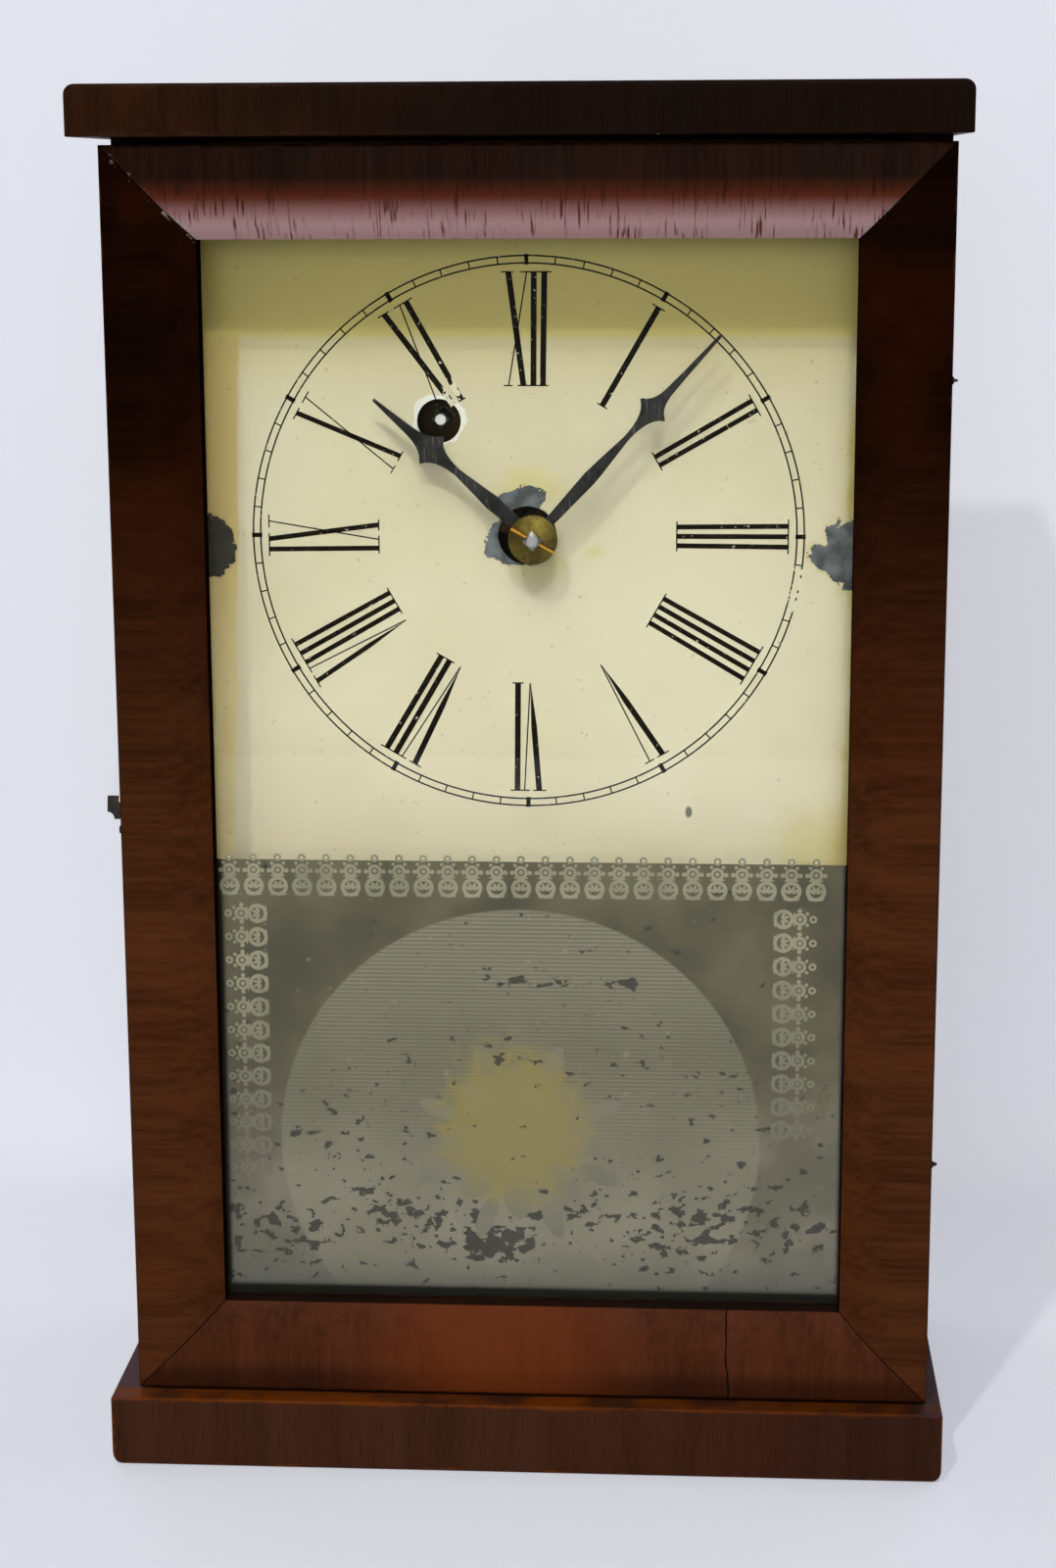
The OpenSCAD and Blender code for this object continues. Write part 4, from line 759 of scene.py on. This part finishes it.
# Painted light: the lower band of the top rail is painted redder and lighter, for the light the table throws
# up onto it
gloss = above(tree, place, gloss_high, gloss_low)
red = mix(tree, gloss, color(112, 50, 30), color(168, 72, 58))
painted_glow_band = maths(tree, "MULTIPLY", above(tree, place, glow_high, glow_low), 0.8)
body = mix(tree, painted_glow_band, body, red)
body = tint(tree, body, dashes, 0.6, (40, 20, 14))
gloss = maths(tree, "MULTIPLY", gloss, step(tree, dashes, 1.2, 0))
tree.links.new(gloss, shader.inputs["Coat Weight"])
crazed = noise(tree, mapped(tree, place, scale=(1, 0.5, 0.5)), 1500, detail=4, roughness=0.75)
finish_with(tree, shader, joint_lines(tree, place, body), rough, crazed, depth=0.00003)
give(top_rail, nodes["door_rail_top"])

bottom_rail, tree, shader, place, body, rough, relief = veneer(
    "bottom_rail_veneer", UPRIGHT, (73, 37, 18), (93, 48, 27), (118, 62, 33),
    box=(door_low, door_high), edge=(110, 60, 36), edge_width=0.0007)
along = split(tree, place)
# Painted shade: the rail is painted darker along its lower edge
outer = above(tree, place, door_low.z + 0.0075, door_low.z + 0.003)
body = tint(tree, body, outer, 0.6, (40, 17, 6))
middle = step(tree, maths(tree, "ABSOLUTE", maths(tree, "ADD", along[0], 0.006)), 0.04, 0.005)
body = tint(tree, body, middle, 0.5, (142, 66, 24))
weave = maths(tree, "MULTIPLY", maths(tree, "SUBTRACT", noise(tree, place, 60, detail=3), 0.5), 0.004)
crack_x = maths(tree, "ADD", along[0], weave)
crack_at = 0.0455
crack = step(tree, off_from(tree, crack_x, crack_at), 0.00032, 0.00008)
crack = maths(tree, "MULTIPLY", crack, above(tree, place, 0.045, 0.04))
body = mix(tree, crack, body, color(14, 6, 3))
finish_with(tree, shader, joint_lines(tree, place, body), rough, relief)
give(bottom_rail, nodes["door_rail_bottom"])

stiles, tree, shader, place, body, rough, relief = veneer(
    "stile_veneer", ACROSS, (37, 18, 7), (50, 25, 11), (66, 35, 17), painted_shade=(3.3, 0.35),
    box=(door_low, door_high), edge=(80, 44, 24), edge_width=0.0005)
shader.inputs["Specular IOR Level"].default_value = 0
finish_with(tree, shader, joint_lines(tree, place, body), rough, relief)
give(stiles, nodes["door_stile_left"], nodes["door_stile_right"])
give(pine, nodes["glazing_strips"])

# Glass
# One thin old pane in the door's rebate, held by four wooden strips. Light passes through it to the
# dial, so its shadow is left out.
glass, tree, shader = new_material("old_glass", Roughness=0.02, Transmission_Weight=1, IOR=1.25)
shader.inputs["Base Color"].default_value = (0.93, 0.95, 0.92, 1)
ripple = noise(tree, place_on(tree), 25, detail=1)
bump = add(tree, "ShaderNodeBump", {"Height": ripple, "Distance": 0.00006})
tree.links.new(bump.outputs[0], shader.inputs["Normal"])
through = add(tree, "ShaderNodeBsdfTransparent", {"Color": (0.97, 0.97, 0.95, 1)})
shadow_ray = add(tree, "ShaderNodeLightPath").outputs["Is Shadow Ray"]
both = add(tree, "ShaderNodeMixShader", {0: shadow_ray, 1: shader.outputs[0], 2: through.outputs[0]})
tree.links.new(both.outputs[0], tree.nodes["Material Output"].inputs["Surface"])
give(glass, nodes["glass_pane"])

# Tablet
# The lower half of the glass is painted on its back: a lace border first, then a ruled roundel with
# a plain flower, then a grey green ground over all. The ground has flaked in dark spots.
tablet_in = 19.0 * MM
tablet_top = 138.0 * MM
glass_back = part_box("glass_pane")[1].y
layer = 0.02 * MM
lace_y = glass_back + 1.5 * layer
tablet_low = Vector((door_low.x + tablet_in, 0, door_low.z + tablet_in))
tablet_high = Vector((door_high.x - tablet_in, 0, tablet_top))
roundel_middle = Vector((-1.6, 0, 73.0)) * MM
roundel_r = 54 * MM
flower_eye_r = 3.2 * MM
ruled_pitch = 0.00095


def sheet_piece(name, low, high, front, thick):
    """A thin upright sheet behind the glass, from a plane that is extruded to its thickness."""
    bpy.ops.object.select_all(action="DESELECT")
    bpy.ops.mesh.primitive_plane_add(size=1, rotation=(math.radians(90), 0, 0),
                                     location=((low.x + high.x) / 2, front, (low.z + high.z) / 2))
    piece = bpy.context.object
    piece.name = name
    piece.scale = (high.x - low.x, high.z - low.z, 1)
    bpy.ops.object.transform_apply(location=True, rotation=True, scale=True)
    bpy.ops.object.mode_set(mode="EDIT")
    bpy.ops.mesh.select_all(action="SELECT")
    bpy.ops.mesh.extrude_region_move(TRANSFORM_OT_translate={"value": (0, thick, 0)})
    bpy.ops.mesh.select_all(action="SELECT")
    bpy.ops.mesh.normals_make_consistent(inside=False)
    bpy.ops.object.mode_set(mode="OBJECT")
    return piece


def yellow_cloud(tree, place):
    """Where the varnish behind the paint has turned yellow."""
    return use(tree, flaked, Vector=place, Middle=(-0.003, glass_back, 0.077), Reach=(0.016, 0.01, 0.0175),
               Ragged=1.3, Soft=0.3)["Mask"]


ground = sheet_piece("tablet_ground", tablet_low, tablet_high, glass_back + 3 * layer, 2 * layer)
ground_paint, tree, shader = new_material("tablet_ground_paint", Roughness=0.55)
shader.inputs["Specular IOR Level"].default_value = 0.25
place = place_on(tree)
along = split(tree, place)
wash = step(tree, noise(tree, place, 40, detail=6, roughness=0.6), 0.36, 0.64)
body = mix(tree, wash, color(66, 61, 38), color(94, 87, 62))
lower = mix(tree, wash, color(98, 92, 78), color(122, 114, 101))
body = mix(tree, above(tree, place, 0.1, 0.05), body, lower)
offset = vector_maths(tree, "SUBTRACT", place, roundel_middle)[0]
away = vector_maths(tree, "LENGTH", vector_maths(tree, "MULTIPLY", offset, (1, 0, 1))[0])[1]
inside = step(tree, away, roundel_r + 0.0003, roundel_r - 0.0003)
between = maths(tree, "FRACT", maths(tree, "DIVIDE", along[2], ruled_pitch))
ruled = step(tree, off_from(tree, between, 0.5), 0.12, 0.3)
lined = maths(tree, "MULTIPLY", inside, maths(tree, "MULTIPLY", ruled, above(tree, place, 0.06, 0.09)))
body = mix(tree, step(tree, along[2], 0.05, 0.036), body, color(88, 88, 80))
bright = maths(tree, "ADD", 0.45, maths(tree, "MULTIPLY", above(tree, place, 0.09, 0.12), 0.35))
bright = maths(tree, "MULTIPLY", bright, above(tree, place, 0.03, 0.052))
body = mix(tree, maths(tree, "MULTIPLY", inside, bright), body, color(138, 132, 113))
body = tint(tree, body, lined, 0.6, (88, 82, 62))
body = tint(tree, body, yellow_cloud(tree, place), 0.7, (140, 125, 58))

# The ground has flaked where a noise passes a threshold. The threshold is lower in a band near the
# bottom, in one clump there, in a short row high up, and in clouds all over
band = maths(tree, "MULTIPLY", above(tree, place, 0.043, 0.052), above(tree, place, 0.064, 0.054))
row_x, row_z = 0.01, 0.1105
row = maths(tree, "MULTIPLY", step(tree, off_from(tree, along[2], row_z), 0.0022, 0.0008),
            step(tree, off_from(tree, along[0], row_x), 0.024, 0.012))
crowd = noise(tree, mapped(tree, place, shift=(1, 0, 5)), 60, detail=2)
lost = maths(tree, "SUBTRACT", 0.69, maths(tree, "ADD", maths(tree, "MULTIPLY", band, 0.07),
                                           maths(tree, "MULTIPLY", row, 0.1)))
clump = use(tree, flaked, Vector=place, Middle=(-0.006, glass_back, 0.0485), Reach=(0.008, 0.01, 0.004),
            Ragged=1.6, Soft=0.3)["Mask"]
lost = maths(tree, "SUBTRACT", lost, maths(tree, "MULTIPLY", clump, 0.14))
lost = maths(tree, "SUBTRACT", lost, maths(tree, "MULTIPLY", above(tree, place, 0.12, 0.06), 0.07))
lost = maths(tree, "SUBTRACT", lost, maths(tree, "MULTIPLY", maths(tree, "SUBTRACT", crowd, 0.5), 0.26))
spots = noise(tree, mapped(tree, place, scale=(0.8, 1, 1.1)), 350, detail=3, roughness=0.6)
spots = step(tree, maths(tree, "SUBTRACT", spots, lost), 0.0, 0.01)
fine = step(tree, noise(tree, place, 1100, detail=2), 0.7, 0.73)
body = tint(tree, body, most(tree, spots, fine), 0.92, (40, 36, 26))
pale = step(tree, noise(tree, mapped(tree, place, shift=(3, 0, 1)), 420, detail=3), 0.68, 0.74)
body = tint(tree, body, pale, 0.5, (140, 136, 124))
shade = most(tree, step(tree, along[2], tablet_low.z + 0.0028, tablet_low.z + 0.0018),
             step(tree, along[0], tablet_low.x + 0.0018, tablet_low.x + 0.0006),
             step(tree, along[0], tablet_high.x - 0.0016, tablet_high.x - 0.0006))
body = tint(tree, body, shade, 0.97, (10, 9, 3))
finish_with(tree, shader, body)
give(ground_paint, ground)
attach(ground, "door")


def petal(x, z, reach_x, reach_z, turn=0, sides=10):
    """A thin leaf of paint, in millimetres on the glass, added to the piece that is being edited."""
    bpy.ops.mesh.primitive_cylinder_add(vertices=sides, radius=1, depth=1,
                                        location=(x * MM, lace_y, z * MM),
                                        rotation=(math.radians(90), math.radians(turn), 0),
                                        scale=(reach_x * MM, reach_z * MM, layer))


# One motif of the lace stands on a bar: four petals in a ring, a second bar, a smaller ring with a
# bead in it and four beads round it, and a last ring on top
bpy.ops.object.select_all(action="DESELECT")
bpy.ops.mesh.primitive_cylinder_add(vertices=10, radius=1, depth=1, rotation=(math.radians(90), 0, 0),
                                    location=(0, lace_y, 0.5 * MM),
                                    scale=(1.9 * MM, 0.32 * MM, layer))
motif = bpy.context.object
bpy.ops.object.transform_apply(location=True, rotation=True, scale=True)
bpy.ops.object.mode_set(mode="EDIT")
for turn in (-58, -20, 20, 58):
    petal(1.1 * math.sin(math.radians(turn)), 1.7 + 1.1 * math.cos(math.radians(turn)), 0.36, 0.85, turn)
beads = ((0, 6.0, 0.5), (-1.95, 5.9, 0.52), (1.95, 5.9, 0.52), (-1.3, 7.6, 0.4), (1.3, 7.6, 0.4))
for x, z, reach in beads:
    petal(x, z, reach, reach)
petal(0, 4.75, 1.7, 0.3)
bpy.ops.object.mode_set(mode="OBJECT")
rings = ((2.35, 1.85, 0.42), (6.0, 1.15, 0.36), (8.9, 0.62, 0.26))
for z, reach, thick in rings:
    bpy.ops.object.select_all(action="DESELECT")
    bpy.ops.mesh.primitive_torus_add(major_segments=20, minor_segments=4, major_radius=reach * MM,
                                     minor_radius=thick * MM, rotation=(math.radians(90), 0, 0),
                                     location=(0, lace_y, z * MM))
    ringlet = bpy.context.object
    ringlet.scale = (1, 1, 0.3 * layer / (thick * MM))
    bpy.ops.object.transform_apply(location=True, rotation=True, scale=True)
    select_only(motif, ringlet)
    bpy.ops.object.join()
motif = bpy.context.object


def copies(pattern, name, places):
    """One piece of many copies of a pattern, each with its own mesh. A place is x, z, turn and size."""
    made = []
    for x, z, turn, size in places:
        copy = pattern.copy()
        copy.data = pattern.data.copy()
        bpy.context.scene.collection.objects.link(copy)
        copy.location = (x * MM, lace_y, z * MM)
        copy.rotation_euler = (0, math.radians(turn), 0)
        copy.scale = (size, 1, size)
        made.append(copy)
    select_only(*made)
    bpy.ops.object.transform_apply(location=True, rotation=True, scale=True)
    bpy.ops.object.join()
    made[0].name = name
    return made[0]


# The motif's origin is set at its foot, so that its copies can be turned about it
select_only(motif)
bpy.context.scene.cursor.location = (0, lace_y, 0)
bpy.ops.object.origin_set(type="ORIGIN_CURSOR")
lace_pitch = 5.42
lace_low = 129.6
lace_left, lace_right = -66.0, 64.6
left_foot, right_foot = lace_left + 8.4, lace_right - 9.9
column_top = lace_low - 4
top_row = [(lace_left + i * lace_pitch, lace_low, 0, 1)
           for i in range(int((lace_right - lace_left) / lace_pitch) + 1)]
left_column = [(left_foot, column_top - i * lace_pitch, -90, 1) for i in range(12)]
right_column = [(right_foot, column_top - i * lace_pitch, 90, 1) for i in range(10)]
border = copies(motif, "tablet_border", top_row + left_column + right_column)
bpy.data.objects.remove(motif)

bpy.ops.object.select_all(action="DESELECT")
bpy.ops.mesh.primitive_cylinder_add(vertices=24, radius=1, depth=1, rotation=(math.radians(90), 0, 0),
                                    location=(roundel_middle.x, lace_y, roundel_middle.z),
                                    scale=(flower_eye_r, flower_eye_r, layer))
flower = bpy.context.object
flower.name = "tablet_flower"
bpy.ops.object.transform_apply(location=True, rotation=True, scale=True)
bpy.ops.object.mode_set(mode="EDIT")
petal_rings = ((11, 7.4, 3.6, 0), (19.5, 5, 2, 22.5))
for ring_r, long, wide, shift in petal_rings:
    for i in range(8):
        turn = i * 45 + shift
        petal(roundel_middle.x / MM + ring_r * math.sin(math.radians(turn)),
              roundel_middle.z / MM + ring_r * math.cos(math.radians(turn)), wide, long, turn, sides=16)
bpy.ops.object.mode_set(mode="OBJECT")

lace_paint, tree, shader = new_material("tablet_lace_paint", Roughness=0.5)
place = place_on(tree)
faded = maths(tree, "MULTIPLY", above(tree, place, 0.125, 0.072),
              step(tree, noise(tree, place, 60, detail=4), 0.15, 0.4))
wash = step(tree, noise(tree, place, 90, detail=4), 0.35, 0.65)
body = mix(tree, wash, color(126, 121, 97), color(146, 140, 115))
body = mix(tree, faded, body, color(102, 95, 78))
finish_with(tree, shader, body)
give(lace_paint, border)
flower_paint, tree, shader = new_material("tablet_flower_paint", Roughness=0.5)
place = place_on(tree)
wash = step(tree, noise(tree, place, 120, detail=5), 0.3, 0.65)
body = mix(tree, wash, color(102, 96, 78), color(112, 106, 89))
body = tint(tree, body, yellow_cloud(tree, place), 0.75, (134, 119, 56))
finish_with(tree, shader, body)
give(flower_paint, flower)
for piece in (border, flower):
    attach(piece, "door")

# Hinges, hook and dial screws
# Each hinge is two wire eyes linked together, one driven into the case side and one into the door's
# edge. The hook, its screw and the catch pin in the door's edge are dark iron too.
dark_iron = steel_finish("dark_iron", (62, 58, 54), (40, 36, 34), rust_share=0.6, scale=180)
give(dark_iron, *[nodes[name] for name in nodes if name.startswith("hinge_")])
give(dark_iron, nodes["door_hook"], nodes["hook_screw"], nodes["catch_pin"])
give(brass_finish("screw_brass", scale=200), nodes["dial_screws"])
